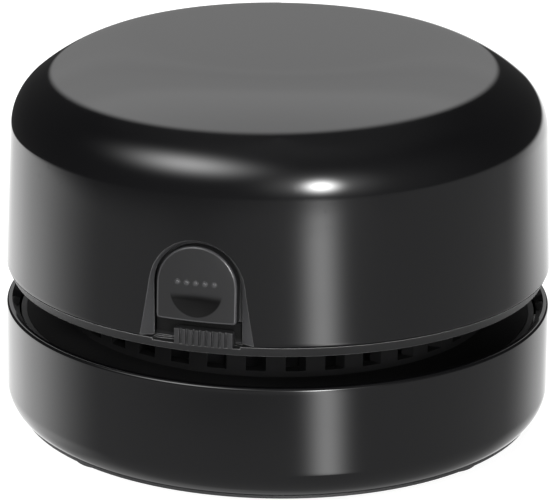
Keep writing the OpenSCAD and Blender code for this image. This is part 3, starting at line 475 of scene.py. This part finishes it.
# the button's thumb scoop is painted darker, as painted shade, and its edges get a faint painted highlight
button_finish = painted_shade_inlay(
    etched_black("button_black", 0.013, 0.44, shine=0.36, edge_mm=0.16, painted_edge_highlight=0.05),
    shade_in_the_scoop, shade=0.003, roughness=0.5, shine=0.09)
# the slide's rib edges get a painted highlight
grip_finish = etched_black("grip_black", 0.018, 0.36, grain_depth=0.006, edge_mm=0.12, shine=0.36,
                           painted_edge_highlight=0.4)
# the button's bevel and grip domes are painted paler: a painted highlight along the edge and a painted
# glint on the domes
polished_edge_highlight = etched_black("painted_edge_highlight", 0.045, 0.14, grain_depth=0.001, edge_mm=0)
# the vent ring in the waist and the window's cut walls are made near black: painted shade for the recesses
# they lie in
dull = etched_black("dull_shaded_black", 0.007, 0.7, grain_mm=0.25, grain_depth=0.03, shine=0.1)
plate_finish = etched_black("plate_black", 0.02, 0.5, grain_mm=0.25, grain_depth=0.02)
inside = etched_black("inside_black", 0.03, 0.5, grain_mm=0.2, grain_depth=0.02, shine=0.35)
soft_rubber = rubber("foot_rubber", (0.018, 0.018, 0.019))
seal_rubber = rubber("seal_rubber", (0.03, 0.03, 0.031))
light_grey = pale_plastic("light_grey_plastic", (0.62, 0.64, 0.66))
white_nylon = pale_plastic("white_nylon", (0.82, 0.81, 0.76), 0.45)
pale_rotor = pale_plastic("rotor_plastic", (0.72, 0.73, 0.76), 0.3)
zinc = plated("zinc_plate", (0.66, 0.67, 0.70), 0.22, mark_mm=0.5)
strip_steel = plated("strip_steel", (0.60, 0.61, 0.63), 0.25, (1, 0.08, 1), 0.12)
drawn_steel = plated("drawn_steel", (0.66, 0.66, 0.68), 0.2, (1, 1, 0.06), 0.14)
nickel = plated("nickel_plate", (0.74, 0.72, 0.68), 0.12, (1, 1, 0.1), 0.1)
ground_steel = plated("ground_steel", (0.72, 0.72, 0.74), 0.12, (1, 1, 8), 0.3)
brass = plated("brass", (0.83, 0.62, 0.30), 0.2, (1, 1, 0.2), 0.15)
green_film = cell_jacket("green_jacket", (0.03, 0.22, 0.10))
red_sleeve = rubber("red_sleeve", (0.45, 0.03, 0.02))
black_sleeve = rubber("black_sleeve", (0.02, 0.02, 0.02))
bristle = etched_black("bristle_black", 0.02, 0.4, grain_mm=0.1, grain_depth=0.004, edge_mm=0)
felt = felted_cloth("filter_cloth")
print("finishes:", len(bpy.data.materials))

# %% [markdown]
# ## Drawing with a pen
#
# Nearly every part here is turned or moulded, and a designer would draw its outline first. So does
# this notebook: a pen starts as one vertex, a straight stroke extrudes it, and a round stroke spins
# it about a centre. The outline is then turned about the upright axis or pulled straight out.
# Strokes are exact arcs, which keeps the mirror-like surfaces free of dents.

# %% What is done to a whole drawing, in millimetres
def outward(bm):
    """Makes all faces of a closed drawing look outwards."""
    bmesh.ops.recalc_face_normals(bm, faces=bm.faces)
    return bm


def move(bm, way):
    bmesh.ops.translate(bm, verts=bm.verts, vec=way)
    return bm


def tip(bm, degrees, axis):
    """Turns a whole drawing about an axis through the origin."""
    bmesh.ops.rotate(bm, verts=bm.verts, matrix=Matrix.Rotation(math.radians(degrees), 3, axis))
    return bm


def points_in(parts):
    return [part for part in parts if isinstance(part, bmesh.types.BMVert)]


# %% A pen for outlines
weld = 0.0005


class Outline:
    """Draws in the upright plane through the axis: x to the right and z up."""

    def __init__(self, x, z):
        self.bm = bmesh.new()
        self.tip = self.start = self.bm.verts.new((x, 0, z))

    def line(self, x, z):
        self.tip = bmesh.ops.extrude_vert_indiv(self.bm, verts=[self.tip])["verts"][0]
        self.tip.co = (x, 0, z)
        return self

    def arc(self, x, z, degrees, steps):
        """Swings the pen about (x, z), counter-clockwise as seen from the front."""
        swung = bmesh.ops.spin(self.bm, geom=[self.tip], cent=(x, 0, z), axis=(0, -1, 0),
                               angle=math.radians(degrees), steps=steps)
        self.tip = points_in(swung["geom_last"])[0]
        return self

    def close(self):
        self.bm.edges.new((self.tip, self.start))
        return self

    def turn(self, steps=96):
        """Turns the outline into a round part about the upright axis."""
        bmesh.ops.spin(self.bm, geom=self.bm.verts[:] + self.bm.edges[:], cent=(0, 0, 0),
                       axis=(0, 0, 1), angle=math.tau, steps=steps, use_merge=True)
        bmesh.ops.remove_doubles(self.bm, verts=self.bm.verts, dist=weld)
        return outward(self.bm)

    def pull(self, near, far):
        """Fills the outline and pulls it from y = far to y = near, which is nearer to the camera."""
        face = bmesh.ops.edgeloop_fill(self.bm, edges=self.bm.edges)["faces"]
        move(self.bm, (0, far, 0))
        moved = bmesh.ops.extrude_face_region(self.bm, geom=face)["geom"]
        bmesh.ops.translate(self.bm, verts=points_in(moved), vec=(0, near - far, 0))
        return outward(self.bm)


# %% Small tools that the pieces share
def slab(low, high):
    """A block between two corners."""
    bm = bmesh.new()
    bmesh.ops.create_cube(bm, size=1)
    bmesh.ops.scale(bm, verts=bm.verts, vec=[b - a for a, b in zip(low, high)])
    return move(bm, [(a + b) / 2 for a, b in zip(low, high)])


def join(*drawings):
    """Puts several drawings into the first one."""
    first = drawings[0]
    for other in drawings[1:]:
        mesh = bpy.data.meshes.new("drawing")
        other.to_mesh(mesh)
        other.free()
        first.from_mesh(mesh)
        bpy.data.meshes.remove(mesh)
    return first


def paint(bm, slot):
    """Gives all faces of a drawing one material slot."""
    for face in bm.faces:
        face.material_index = slot
    return bm


most_slots = 3


def carve(body, tool, operation="DIFFERENCE"):
    """Cuts the tool's shape from the body; the new walls keep the tool's material slots."""
    pair = []
    for drawing in (body, tool):
        mesh = bpy.data.meshes.new("drawing")
        drawing.to_mesh(mesh)
        drawing.free()
        for _ in range(most_slots):
            mesh.materials.append(None)
        pair.append(add_object("drawing", mesh))
    cut = pair[0].modifiers.new("cut", "BOOLEAN")
    cut.operation, cut.solver, cut.object = operation, "EXACT", pair[1]
    bpy.context.view_layer.update()
    result = bmesh.new()
    result.from_object(pair[0], bpy.context.evaluated_depsgraph_get())
    for drawing in pair:
        mesh = drawing.data
        bpy.data.objects.remove(drawing)
        bpy.data.meshes.remove(mesh)
    return result


def repeat(bm, places):
    """Puts the drawing at each (x, y, z, degrees) in place of the origin."""
    first = bm.verts[:] + bm.edges[:] + bm.faces[:]
    for x, y, z, degrees in places:
        verts = points_in(bmesh.ops.duplicate(bm, geom=first)["geom"])
        bmesh.ops.rotate(bm, verts=verts, matrix=Matrix.Rotation(math.radians(degrees), 3, "Z"))
        bmesh.ops.translate(bm, verts=verts, vec=(x, y, z))
    bmesh.ops.delete(bm, geom=points_in(first))
    return bm


def piece(name, bm, body, node, finishes, sharp=32):
    """Turns a drawing in millimetres into an object in metres, in place of a node and on its body."""
    bmesh.ops.scale(bm, vec=(0.001, 0.001, 0.001), verts=bm.verts)
    for face in bm.faces:
        face.smooth = True
    for edge in bm.edges:
        if len(edge.link_faces) == 2:
            one, two = edge.link_faces
            bend = edge.calc_face_angle(0)
            edge.smooth = bend < math.radians(sharp) and (
                one.material_index == two.material_index or bend < math.radians(6))
    mesh = bpy.data.meshes.new(name)
    bm.to_mesh(mesh)
    bm.free()
    for finish in finishes:
        mesh.materials.append(finish)
    made = add_object(name, mesh)
    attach(made, body)
    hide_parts(node)
    print(name, "has", len(mesh.polygons), "faces")
    return made


# %% [markdown]
# ## The battery cover
#
# The cover is one thin moulding: an upright wall with a little draft so that it leaves its mould, a
# soft shoulder and a flat top. It is the largest mirror in the picture, so it is turned in 384 fine
# steps from true arcs. The window for the button is cut through the wall as an arch, and a second,
# wider arch cuts its flared border. Cutting shows the curved wall's true section, which no
# flat ring laid on the wall would have. The border is satin, so its faces get a second slot.

# %% Turn the wall, the shoulder and the top
fine_steps = 384
seam, top, skin, draft_degrees = 25.1, 59.96, 1.6, 2.88
shoulder, crown = (31.63, 46.18), (19.8, 31.96)
draft = math.radians(draft_degrees)
shell = (Outline(40.598, seam)
         .line(42.042, seam).arc(42.042, 25.25, 90 + draft_degrees, 5).line(42.172, 25.65)
         .line(41.136, 46.26).line(41.116, 46.66).arc(*shoulder, 47.32, 40).arc(*crown, 39.8, 36)
         .line(19.2, top).line(0, top).line(0, top - skin).line(crown[0], top - skin)
         .arc(*crown, -39.8, 24).arc(*shoulder, -47.32, 24).close().turn(fine_steps))
print("the turned shell has", len(shell.faces), "faces")

# %% The window and its flared border
window_r, window_z, window_low, straight_steps = 6.55, 33.0, 24.1, 20


def border_line(t):
    """The border's outline at depth t: 0 at the window's edge and 1 at the cover's face."""
    radius, middle, foot, low = window_r + 0.85 * t, window_z - 0.45 * t, window_r + 2.05 * t, window_low
    reach = math.hypot(foot, low - middle)
    touch = math.degrees(math.atan2(low - middle, foot) + math.acos(radius / reach))
    lean = math.radians(touch)
    highest = Vector((radius * math.cos(lean), 0, middle + radius * math.sin(lean)))
    side = [highest.lerp(Vector((foot, 0, low)), i / straight_steps) for i in range(straight_steps + 1)]
    pen = Outline(foot, low)
    for point in side[-2::-1]:
        pen.line(point.x, point.z)
    pen.arc(0, middle, 180 - 2 * touch, 64)
    for point in side[1:]:
        pen.line(-point.x, point.z)
    return move(pen.close().bm, (0, -40.5 - 0.8 * t, 0))


flare = join(border_line(-0.35), border_line(2))
bmesh.ops.bridge_loops(flare, edges=flare.edges[:])
bmesh.ops.holes_fill(flare, edges=[edge for edge in flare.edges if edge.is_boundary], sides=0)
arch = (Outline(window_r, 24).line(window_r, window_z).arc(0, window_z, 180, 64)
        .line(-window_r, 24).close().pull(-60, -29))
shell = carve(shell, carve(paint(arch, 2), paint(outward(flare), 1), "UNION"))
print("with its window the shell has", len(shell.faces), "faces")

# %% The catch for the latch and the ribs over the cells
cell_x, cell_z, cell_r = 19, 33.49, 7.25
rib_low = cell_z + cell_r + 0.5
ribs = [slab((x - 3.5, y - 0.6, rib_low), (x + 3.5, y + 0.6, 58.5))
        for x in (-cell_x, cell_x) for y in (-12, 12)]
catch = slab((-3, -40.4, 42.35), (3, -37.9, 43.55))
# the window's cut walls take the near-black finish, painted shade
piece("cover", join(shell, catch, *ribs), "cover", "cover_shell", [gloss, border_finish, dull])

# %% [markdown]
# ## The dust bowl
#
# The bowl is a second turned mirror. What the eye follows is its rim, so the rim is drawn as it is
# moulded: the outside rolls over in half a millimetre, a narrow flat follows, and then a funnel
# leads the neck in. A short band is added at each end of the tall wall. It keeps the smooth shading
# of the round edge beside it from leaking into the straight wall, where it would bend the reflections.

# %% Turn the bowl
underside, floor_top, rim, rim_round = 2.7, 4.2, 18.9, 0.5
inner_r, inner_round = 40.4, 3
bowl = (Outline(0, underside).line(38.1, underside).line(38.1, 1.65).line(40.4, 1.65)
        .arc(37.7, 5.62, 55.8, 36).line(42.49, 6.2).line(42.31, 17.9)
        .line(42.3, rim - rim_round).arc(41.8, rim - rim_round, 90, 12)
        .line(41.5, rim).line(inner_r, rim - 1.5).line(inner_r, floor_top + inner_round)
        .arc(inner_r - inner_round, floor_top + inner_round, -90, 16)
        .line(0, floor_top).close().turn(fine_steps))
print("the turned bowl has", len(bowl.faces), "faces")


# %% The bosses for the base screws and the three ledges of the twist lock
def ring_part(inner, outer, low, high, start, sweep):
    """A part of a flat ring, made by turning a small upright rectangle through an angle."""
    outline = Outline(inner, low).line(outer, low).line(outer, high).line(inner, high).close()
    bm = tip(outline.bm, start, "Z")
    face = bmesh.ops.edgeloop_fill(bm, edges=bm.edges)["faces"]
    bmesh.ops.spin(bm, geom=face, cent=(0, 0, 0), axis=(0, 0, 1), angle=math.radians(sweep),
                   steps=max(2, round(sweep)))
    return outward(bm)


boss_out, pilot_r, boss_r = 28, 0.9, 2.6
boss_places = [(boss_out * math.cos(math.radians(a)), boss_out * math.sin(math.radians(a)), 0, 0)
               for a in (16, 136, 256)]
boss = (Outline(pilot_r, 3.7).line(boss_r, 3.7).line(boss_r, 7.2).arc(boss_r - 0.2, 7.2, 90, 4)
        .line(pilot_r, 7.4).close().turn(40))
ledge_inner, ledge_low = 39.0, 13.2
ledges = [ring_part(ledge_inner, 40.8, low, high, 120 * i - 2, sweep) for i in range(3)
          for low, high, sweep in ((ledge_low, ledge_low + 1.5, 21), (ledge_low - 1.8, ledge_low + 0.1, 2))]
print("bosses:", len(boss_places), "ledges with their stops:", len(ledges))

# %% Cut the suction mouth and the screw holes
mouth_half, mouth_r = 12, 5
mouth = (Outline(mouth_half, -mouth_r).arc(mouth_half, 0, 180, 24).line(-mouth_half, mouth_r)
         .arc(-mouth_half, 0, 180, 24).close().pull(2, 6))
pilot = Outline(0, 2).line(pilot_r, 2).line(pilot_r, 8).line(0, 8).turn(40)
bowl = carve(bowl, join(tip(mouth, 90, "X"), repeat(pilot, boss_places)))
piece("bowl_shell", join(bowl, repeat(boss, boss_places), *ledges), "bowl", "dust_bowl", [bowl_gloss])

# %% [markdown]
# ## The release button
#
# The button fills the arch and continues the cover's curve. It starts as a flat plate: its front
# edge is bevelled while it is flat, the front is sliced into a fine grid, and only then is
# every front point moved back onto the cover's surface, so the bevel stays even all round. The thumb
# scoop is pressed in with the same move: half a ball's hollow with a soft upper slope. Five small
# domes give the finger grip. The bevel is polished, because this edge wears smooth first; the bevel
# and the domes are also painted paler, a painted highlight.

# %% A plate with a bevelled front edge
cover_r, flush_gap = 42.2, 0.05
button_r, button_low, button_z, corner, flat_out = 5.92, 28.1, 33.23, 0.42, 44


def wall_front(x, z):
    """How far the button's face, flush with the cover's, stands in front of the axis."""
    return math.sqrt((cover_r - flush_gap - (z - seam) * math.tan(draft)) ** 2 - x * x)


plate = (Outline(button_r - corner, button_low).arc(button_r - corner, button_low + corner, 90, 4)
         .line(button_r, button_z).arc(0, button_z, 180, 72).line(-button_r, button_low + corner)
         .arc(corner - button_r, button_low + corner, 90, 4).close().pull(-flat_out, -39.5))
front = min(plate.faces, key=lambda face: face.calc_center_median().y)
bmesh.ops.bevel(plate, geom=front.edges[:], offset=0.3, offset_type="OFFSET", segments=5,
                profile=0.5, affect="EDGES", material=1)
print("the bevelled plate has", len(plate.faces), "faces")

# %% Slice the front and press it into shape
slice_mm, ball_r, ball_out = 0.2, 9.906, 9.106
for axis, low, high in ((0, -5.6, 5.6), (2, 28.4, 38.9)):
    for i in range(int((high - low) / slice_mm) + 1):
        cut = Vector((0, 0, 0))
        cut[axis] = 1
        face_parts = [face for face in plate.faces if face.calc_center_median().y < 0.6 - flat_out]
        parts = {part for face in face_parts for part in (face, *face.edges, *face.verts)}
        bmesh.ops.bisect_plane(plate, geom=list(parts), plane_co=cut * (low + slice_mm * i), plane_no=cut)


def scoop(x, z):
    """The depth of the thumb scoop: a ball's hollow, eased off above its middle."""
    out = math.hypot(x, z - scoop_z)
    if out > scoop_r:
        return 0
    slope = min(1, max(0, (32.5 - z) / 1.5))
    return (math.sqrt(ball_r ** 2 - out * out) - ball_out) * slope * slope * (3 - 2 * slope)


for point in plate.verts:
    if point.co.y < 3 - flat_out:
        point.co.y += flat_out - wall_front(point.co.x, point.co.z) + scoop(point.co.x, point.co.z)
print("the front has", len(plate.verts), "points")

# %% Grip domes, the flange behind the window's edge, the guide pins and the stem
dome = tip(Outline(0, 0.24).arc(0, -0.18, -78, 6).turn(20), 90, "X")
dome_step, dome_z = 1.35, 33.8
domes = repeat(dome, [(dome_step * i, -wall_front(dome_step * i, dome_z) + 0.02, dome_z, 0)
                      for i in range(-2, 3)])
flange_r, flange_back = 7.12, -38.6
flange = (Outline(flange_r, button_low).line(flange_r, button_z).arc(0, button_z, 180, 48)
          .line(-flange_r, button_low).close().pull(-flat_out, flange_back))
# the flange's front follows the inside of the cover's wall
drum = Outline(0, 20).line(40.757, 20).line(39.097, 53).line(0, 53).close().turn(192)
flange = carve(flange, drum, "INTERSECT")


def rod(radius, length, x, y, z, edge=0.2):
    """A round pin that points backwards, with a rounded far end."""
    bm = (Outline(0, 0).line(radius, 0).line(radius, length - edge)
          .arc(radius - edge, length - edge, 90, 4).line(0, length).turn(32))
    return move(tip(bm, -90, "X"), (x, y, z))


rods_y = flange_back - 0.1
pins = [rod(1.05, 3.7, x, rods_y, button_z) for x in (-5, 5)]
backs = [paint(bm, 2) for bm in (flange, *pins, rod(1.9, 4.0, 0, rods_y, 35.03))]
# the domes take the paler bevel finish, a painted glint
piece("button", join(plate, paint(domes, 1), *backs), "button", "release_button",
      [button_finish, polished_edge_highlight, inside], sharp=40)

# %% [markdown]
# ## The slide of the switch
#
# A thumb slide is moulded with upright ribs, here nine, so that it can be pushed sideways with a
# dry finger. Its outline seen from above is a comb. The comb is drawn tooth by tooth, pulled up, and
# its edges are bevelled, because a rib with a round crest is what catches the light as a thin line.

# %% Draw the comb and pull it up
rib_count, slide_w, slide_h, left_end = 9, 8.6, 2.35, -3.05
slide_r, slide_back, slide_top, groove = 42.4, 40.75, 27.05, 0.38
right_end, pitch = left_end + slide_w, slide_w / rib_count


def slide_front(x):
    return math.sqrt(slide_r ** 2 - x * x)


comb = Outline(left_end, slide_back).line(left_end, slide_front(left_end))
for i in range(1, rib_count):
    for across, depth in ((-0.2, 0), (-0.16, groove), (0.16, groove), (0.2, 0)):
        x = left_end + pitch * (i + across)
        comb.line(x, slide_front(x) - depth)
comb = comb.line(right_end, slide_front(right_end)).line(right_end, slide_back).close().pull(-slide_h, 0)
crests = [edge for edge in comb.edges if edge.calc_face_angle(0) > 0.5]
bmesh.ops.bevel(comb, geom=crests, offset=0.09, offset_type="OFFSET", segments=3, profile=0.5,
                affect="EDGES", clamp_overlap=True, material=-1)
# drawn lying down, it is tipped up: its height becomes depth, and its depth height
comb = move(tip(comb, 90, "X"), (0, 0, slide_top))

# %% The stem that carries the switch lever
stem = carve(slab((-0.35, -40.85, 25.54), (2.85, -38.35, 26.64)), slab((0.4, -40.15, 25), (2.1, -38, 27)))
piece("slide", join(comb, paint(stem, 1)), "switch", "slide_button", [grip_finish, inside], sharp=40)

# %% [markdown]
# ## Feet
#
# Four rubber pads sit in round pockets close to the edge. A pad is a turned disc with a rounded rim,
# and three fine rings in its sole keep it from sticking to a polished desk.

# %% Turn one foot and set it down four times
foot_out, foot_turn, foot_spread, foot_r, foot_top, edge_r, ring_r = 34.3, 16, 48, 5, 1.49, 0.6, 0.2
sole = Outline(0, 0)
for radius in (1.3, 2.4, 3.5):
    sole.line(radius - ring_r, 0).arc(radius, 0, -180, 8)
foot = (sole.line(foot_r - edge_r, 0).arc(foot_r - edge_r, edge_r, 90, 8)
        .line(foot_r, foot_top).line(0, foot_top).turn(64))
feet_places = [(foot_out * math.sin(math.radians(a)), -foot_out * math.cos(math.radians(a)), 0, 0)
               for middle in (foot_turn, foot_turn + 180)
               for a in (middle - foot_spread, middle + foot_spread)]
piece("feet", repeat(foot, feet_places), "bowl", "rubber_feet", [soft_rubber])

# %% [markdown]
# ## Screws
#
# All screws here are one kind: a pan head with a cross recess and a coarse thread for plastic. The
# thread is a small triangle that is spun while it climbs along the core. Each screw is made as long
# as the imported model's plain one and set down in its place.

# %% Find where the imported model's screws stand
def islands(node):
    """The boxes, in millimetres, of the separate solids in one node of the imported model."""
    bm = bmesh.new()
    bm.from_mesh(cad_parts[node].data)
    bm.transform(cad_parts[node].matrix_world)
    bmesh.ops.remove_doubles(bm, verts=bm.verts, dist=1e-6)
    left, boxes = set(bm.verts), []
    while left:
        found = newest = {left.pop()}
        while newest:
            newest = {edge.other_vert(point) for point in newest for edge in point.link_edges} - found
            found = found | newest
        left -= found
        boxes.append([[f(v.co[i] for v in found) * 1000 for i in range(3)] for f in (min, max)])
    bm.free()
    return boxes


# %% Make a screw with its head down, and one for each place
head_r, head_h, core_r, crest_r, climb, turn_steps = 2.1, 0.9, 0.85, 1.15, 0.75, 16


def screw(length):
    head = (Outline(0, 0).line(1.45, 0).arc(1.45, 0.65, 90, 8).line(head_r, head_h).line(core_r, head_h)
            .line(core_r, length - 0.9).line(0.2, length).line(0, length).turn(40))
    cross = [slab((-1.3, -0.2, -0.1), (1.3, 0.2, 0.5)), slab((-0.2, -1.3, -0.1), (0.2, 1.3, 0.5))]
    thread = Outline(core_r - 0.05, 1.0).line(crest_r, 1.25).line(core_r - 0.05, 1.5).close().bm
    turns = (length - 2.1) / climb
    bmesh.ops.spin(thread, geom=thread.verts[:] + thread.edges[:], cent=(0, 0, 0), axis=(0, 0, 1),
                   dvec=(0, 0, climb / turn_steps), angle=math.tau * turns, steps=round(turn_steps * turns))
    bmesh.ops.holes_fill(thread, edges=[edge for edge in thread.edges if edge.is_boundary], sides=0)
    return join(carve(carve(head, cross[0]), cross[1]), outward(thread))


def set_screws(node, body):
    made = []
    for low, high in islands(node):
        length = high[2] - low[2]
        upside_down = node == "small_screws"
        bm = screw(length)
        if upside_down:
            tip(bm, 180, "X")
        tip(bm, math.degrees(0.7 * len(made) + 0.3), "Z")
        spot = ((low[0] + high[0]) / 2, (low[1] + high[1]) / 2, high[2] if upside_down else low[2])
        made.append(move(bm, spot))
    piece("turned_" + node, join(*made), body, node, [zinc], sharp=35)


for node, body in (("base_screws", "bowl"), ("deck_screws", "main_unit"), ("small_screws", "main_unit")):
    set_screws(node, body)

# %% [markdown]
# ## The two cells
#
# A cell is a drawn steel can with a printed film shrunk over it. The film stops short of both ends,
# where the bare nickel rim and the pressed cap show. Both are turned from one outline, and the faces
# are given film or metal by where they lie.

# %% Turn a cell and lay the two down, head to tail
cell_l, cell_shift, film_r = 50.5, 1.85, 6.72


def cell(x, y, z, towards):
    half = cell_l / 2
    bm = (Outline(0, -half).line(3.2, -half).arc(3.2, -half - 0.3, -40, 3).line(5.2, -half + 0.1)
          .line(6.65, -half).arc(6.65, -half + 0.6, 90, 8).line(cell_r, -half + 1.2)
          .line(cell_r, half - 2.2).line(cell_r, half - 1.6).arc(6.65, half - 1.6, 90, 8)
          .line(6.3, half - 1.0).line(6.15, half - 1.25).line(2.95, half - 1.25)
          .arc(2.95, half - 1.0, -90, 3).line(2.7, half - 0.35).arc(2.35, half - 0.35, 90, 6)
          .line(0, half).turn(72))
    for face in bm.faces:
        middle = face.calc_center_median()
        face.material_index = int(math.hypot(middle.x, middle.y) < film_r)
    return move(tip(bm, -90 * towards, "X"), (x, y, z))


for side, towards in (("left", -1), ("right", 1)):
    lying = cell(towards * cell_x, towards * cell_shift, cell_z, towards)
    piece(side + "_cell_dressed", lying, "main_unit", side + "_cell", [green_film, nickel])

# %% [markdown]
# ## Springs and wires
#
# Anything that is a wire starts as a curve along its middle and is given a thickness, then made a
# mesh. The contact springs are cones, wound with a narrowing radius, so that they can be pressed
# flat. The leads are soft and run in wide bends from contact to switch to motor.

# %% A wire along given points
def wire(points, radius, straight=False):
    curve = bpy.data.curves.new("wire", "CURVE")
    curve.dimensions, curve.bevel_depth, curve.bevel_resolution = "3D", radius, 2
    curve.resolution_u, curve.use_fill_caps = 6, True
    line = curve.splines.new("POLY" if straight else "BEZIER")
    knots = line.points if straight else line.bezier_points
    knots.add(len(points) - 1)
    for knot, point in zip(knots, points):
        knot.co = (*point, 1) if straight else point
        if not straight:
            knot.handle_left_type = knot.handle_right_type = "AUTO"
    drawn = add_object("wire", curve)
    bpy.context.view_layer.update()
    mesh = bpy.data.meshes.new_from_object(drawn.evaluated_get(bpy.context.evaluated_depsgraph_get()))
    bm = bmesh.new()
    bm.from_mesh(mesh)
    bpy.data.objects.remove(drawn)
    bpy.data.curves.remove(curve)
    bpy.data.meshes.remove(mesh)
    bmesh.ops.remove_doubles(bm, verts=bm.verts, dist=weld)
    return outward(bm)


# %% The two conical springs
spring_wire_r, spring_y, coil_turns, coil_steps = 0.35, 27.45, 3, 96


def spring(x, y, z, towards):
    """The wire starts and ends flat, for a third of a turn, where it lies on its seat."""
    coil = []
    for i in range(coil_steps + 1):
        t = i / coil_steps
        radius, angle = 4.2 - 2.4 * t, math.tau * coil_turns * t
        rise = spring_wire_r + 2.65 * min(1, max(0, (t - 0.12) / 0.76))
        coil.append((x + radius * math.cos(angle), y + towards * rise, z + radius * math.sin(angle)))
    return wire(coil, spring_wire_r, straight=True)


both_springs = join(*(spring(side * cell_x, -side * spring_y, cell_z, side) for side in (1, -1)))
piece("wound_springs", both_springs, "main_unit", "contact_springs", [nickel], sharp=70)

# %% The leads: red on the side of the switch, black on the other
red_routes = [
    [(-19, 28.4, 41.2), (-18, 30.6, 41.8), (-14, 31.5, 39), (-10.6, 28.6, 32), (-10, 18, 28.6),
     (-10, 0, 28.2), (-10, -18, 28.4), (-7.2, -29, 28.4), (-4, -32, 28), (-3.2, -33.2, 27.6)],
    [(-6.25, 0.4, 54.6), (-7.4, -3, 55.4), (-9.8, -10, 51), (-9.8, -17, 40), (-6, -26.5, 33),
     (0, -28.4, 30.4), (5, -30.6, 28.8), (3.2, -33.2, 27.6)],
]
black_route = [(19, 28.4, 41.2), (17.5, 29.4, 43.4), (13.6, 24, 47), (9.4, 13, 52.6), (7.4, 4, 55.6),
               (6.25, 0.4, 54.6)]
lead_r = 0.6
leads = join(*(wire(route, lead_r) for route in red_routes), paint(wire(black_route, lead_r), 1))
piece("leads", leads, "main_unit", "lead_wires", [red_sleeve, black_sleeve], sharp=60)

# %% [markdown]
# ## Brush strips
#
# On each long side of the suction mouth a strip of nylon bristles sweeps crumbs in. Bristles are
# stapled in tufts, and the bristles of a tuft fan out a little. Each bristle is only a tapered
# three-sided spike, because there are thousands, and a seeded generator splays them, so every run
# of this notebook grows the same brush.

# %% Grow the tufts
chance = random.Random(7)
strip_y, row_step, tuft_span, tufts, hairs_each, splay = 7.4, 0.72, 30.6, 36, 11, 0.09
bar = slab((-16, -1.2, 1.4), (16, 1.2, 2.2))
bmesh.ops.bevel(bar, geom=bar.edges[:], offset=0.12, segments=2, profile=0.5, affect="EDGES", material=-1)
bars = paint(repeat(bar, [(0, -strip_y, 0, 0), (0, strip_y, 0, 180)]), 1)
hairs = bmesh.new()
for side in (-1, 1):
    for column in range(tufts):
        for row in (-1, 0, 1):
            for hair in range(hairs_each):
                around, out = hair * 2.4, 0.27 * math.sqrt(hair / (hairs_each - 1))
                x = tuft_span * (column / (tufts - 1) - 0.5) + out * math.cos(around)
                y = side * strip_y + row_step * row + out * math.sin(around)
                length = 1.18 - 0.16 * chance.random()
                lean = Matrix.Rotation(chance.gauss(0, splay), 4, "X")
                lean = lean @ Matrix.Rotation(chance.gauss(0, splay), 4, "Y")
                stand = Matrix.Translation((x, y, 1.5)) @ lean @ Matrix.Translation((0, 0, -length / 2))
                bmesh.ops.create_cone(hairs, segments=3, radius1=0.03, radius2=0.055, depth=length,
                                      cap_ends=True, matrix=stand)
piece("brushes", join(hairs, bars), "bowl", "brush_strips", [bristle, inside], sharp=60)

# %% [markdown]
# ## Filter cloth
#
# A disc of felt lies in the filter frame, over its six spokes. The air pulls it up a little between
# the spokes. A flat disc gets this by lifting its points, and then it is given its thickness.

# %% Punch the disc, lift it between the spokes, and thicken it
cloth_r, cloth_z, cloth_t, lift, rings, spokes = 20.9, 13.22, 0.5, 0.16, 24, 6
cloth = Outline(0, cloth_z)
for ring in range(1, rings + 1):
    cloth.line(cloth_r * ring / rings, cloth_z)
cloth = cloth.turn(144)
for point in cloth.verts:
    out = math.hypot(point.co.x, point.co.y) / cloth_r
    between = 0.5 - 0.5 * math.cos(spokes * math.atan2(point.co.y, point.co.x))
    point.co.z += lift * between * math.sin(math.pi * min(1, out)) * min(1, 3 * out)
bmesh.ops.solidify(cloth, geom=cloth.faces[:], thickness=-cloth_t)
low_side = min(point.co.z for point in cloth.verts)
cloth = move(cloth, (0, 0, cloth_z - low_side))
disc = piece("cloth_disc", cloth, "main_unit", "filter_cloth", [felt], sharp=50)

# %% [markdown]
# ## Finishes for the parts whose shape is already right
#
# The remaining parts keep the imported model's own meshes, which have the true curves. Each gets the
# finish of what it is made of.

# %% Hand out the finishes
def dress(finish, *nodes):
    for name in nodes:
        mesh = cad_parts[name].data
        mesh.materials.clear()
        mesh.materials.append(finish)
        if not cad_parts[name].hide_render:
            print("dressed", name, "in", finish.name)


dress(bowl_gloss, "dust_bowl")
dress(gloss, "cover_shell")
dress(satin, "chassis")
# the vent ring is near black, painted shade for the waist's recess
dress(dull, "vent_ring")
dress(plate_finish, "base_plate")
dress(inside, "fan_deck", "mouth_chimney", "latch_arm")
dress(button_finish, "release_button")
dress(grip_finish, "slide_button", "switch_lever")
dress(bristle, "brush_strips")
dress(soft_rubber, "rubber_feet")
dress(seal_rubber, "bowl_seal")
dress(red_sleeve, "lead_wires")
dress(light_grey, "filter_frame")
dress(felt, "filter_cloth")
dress(white_nylon, "motor_end_cap")
dress(pale_rotor, "fan_wheel")
dress(drawn_steel, "motor_can")
dress(strip_steel, "motor_bracket", "switch_case")
dress(zinc, "deck_screws", "small_screws", "base_screws")
dress(nickel, "bridge_contact", "end_contacts", "contact_springs")
dress(ground_steel, "motor_shaft")
dress(brass, "motor_terminals")
dress(green_film, "left_cell", "right_cell")
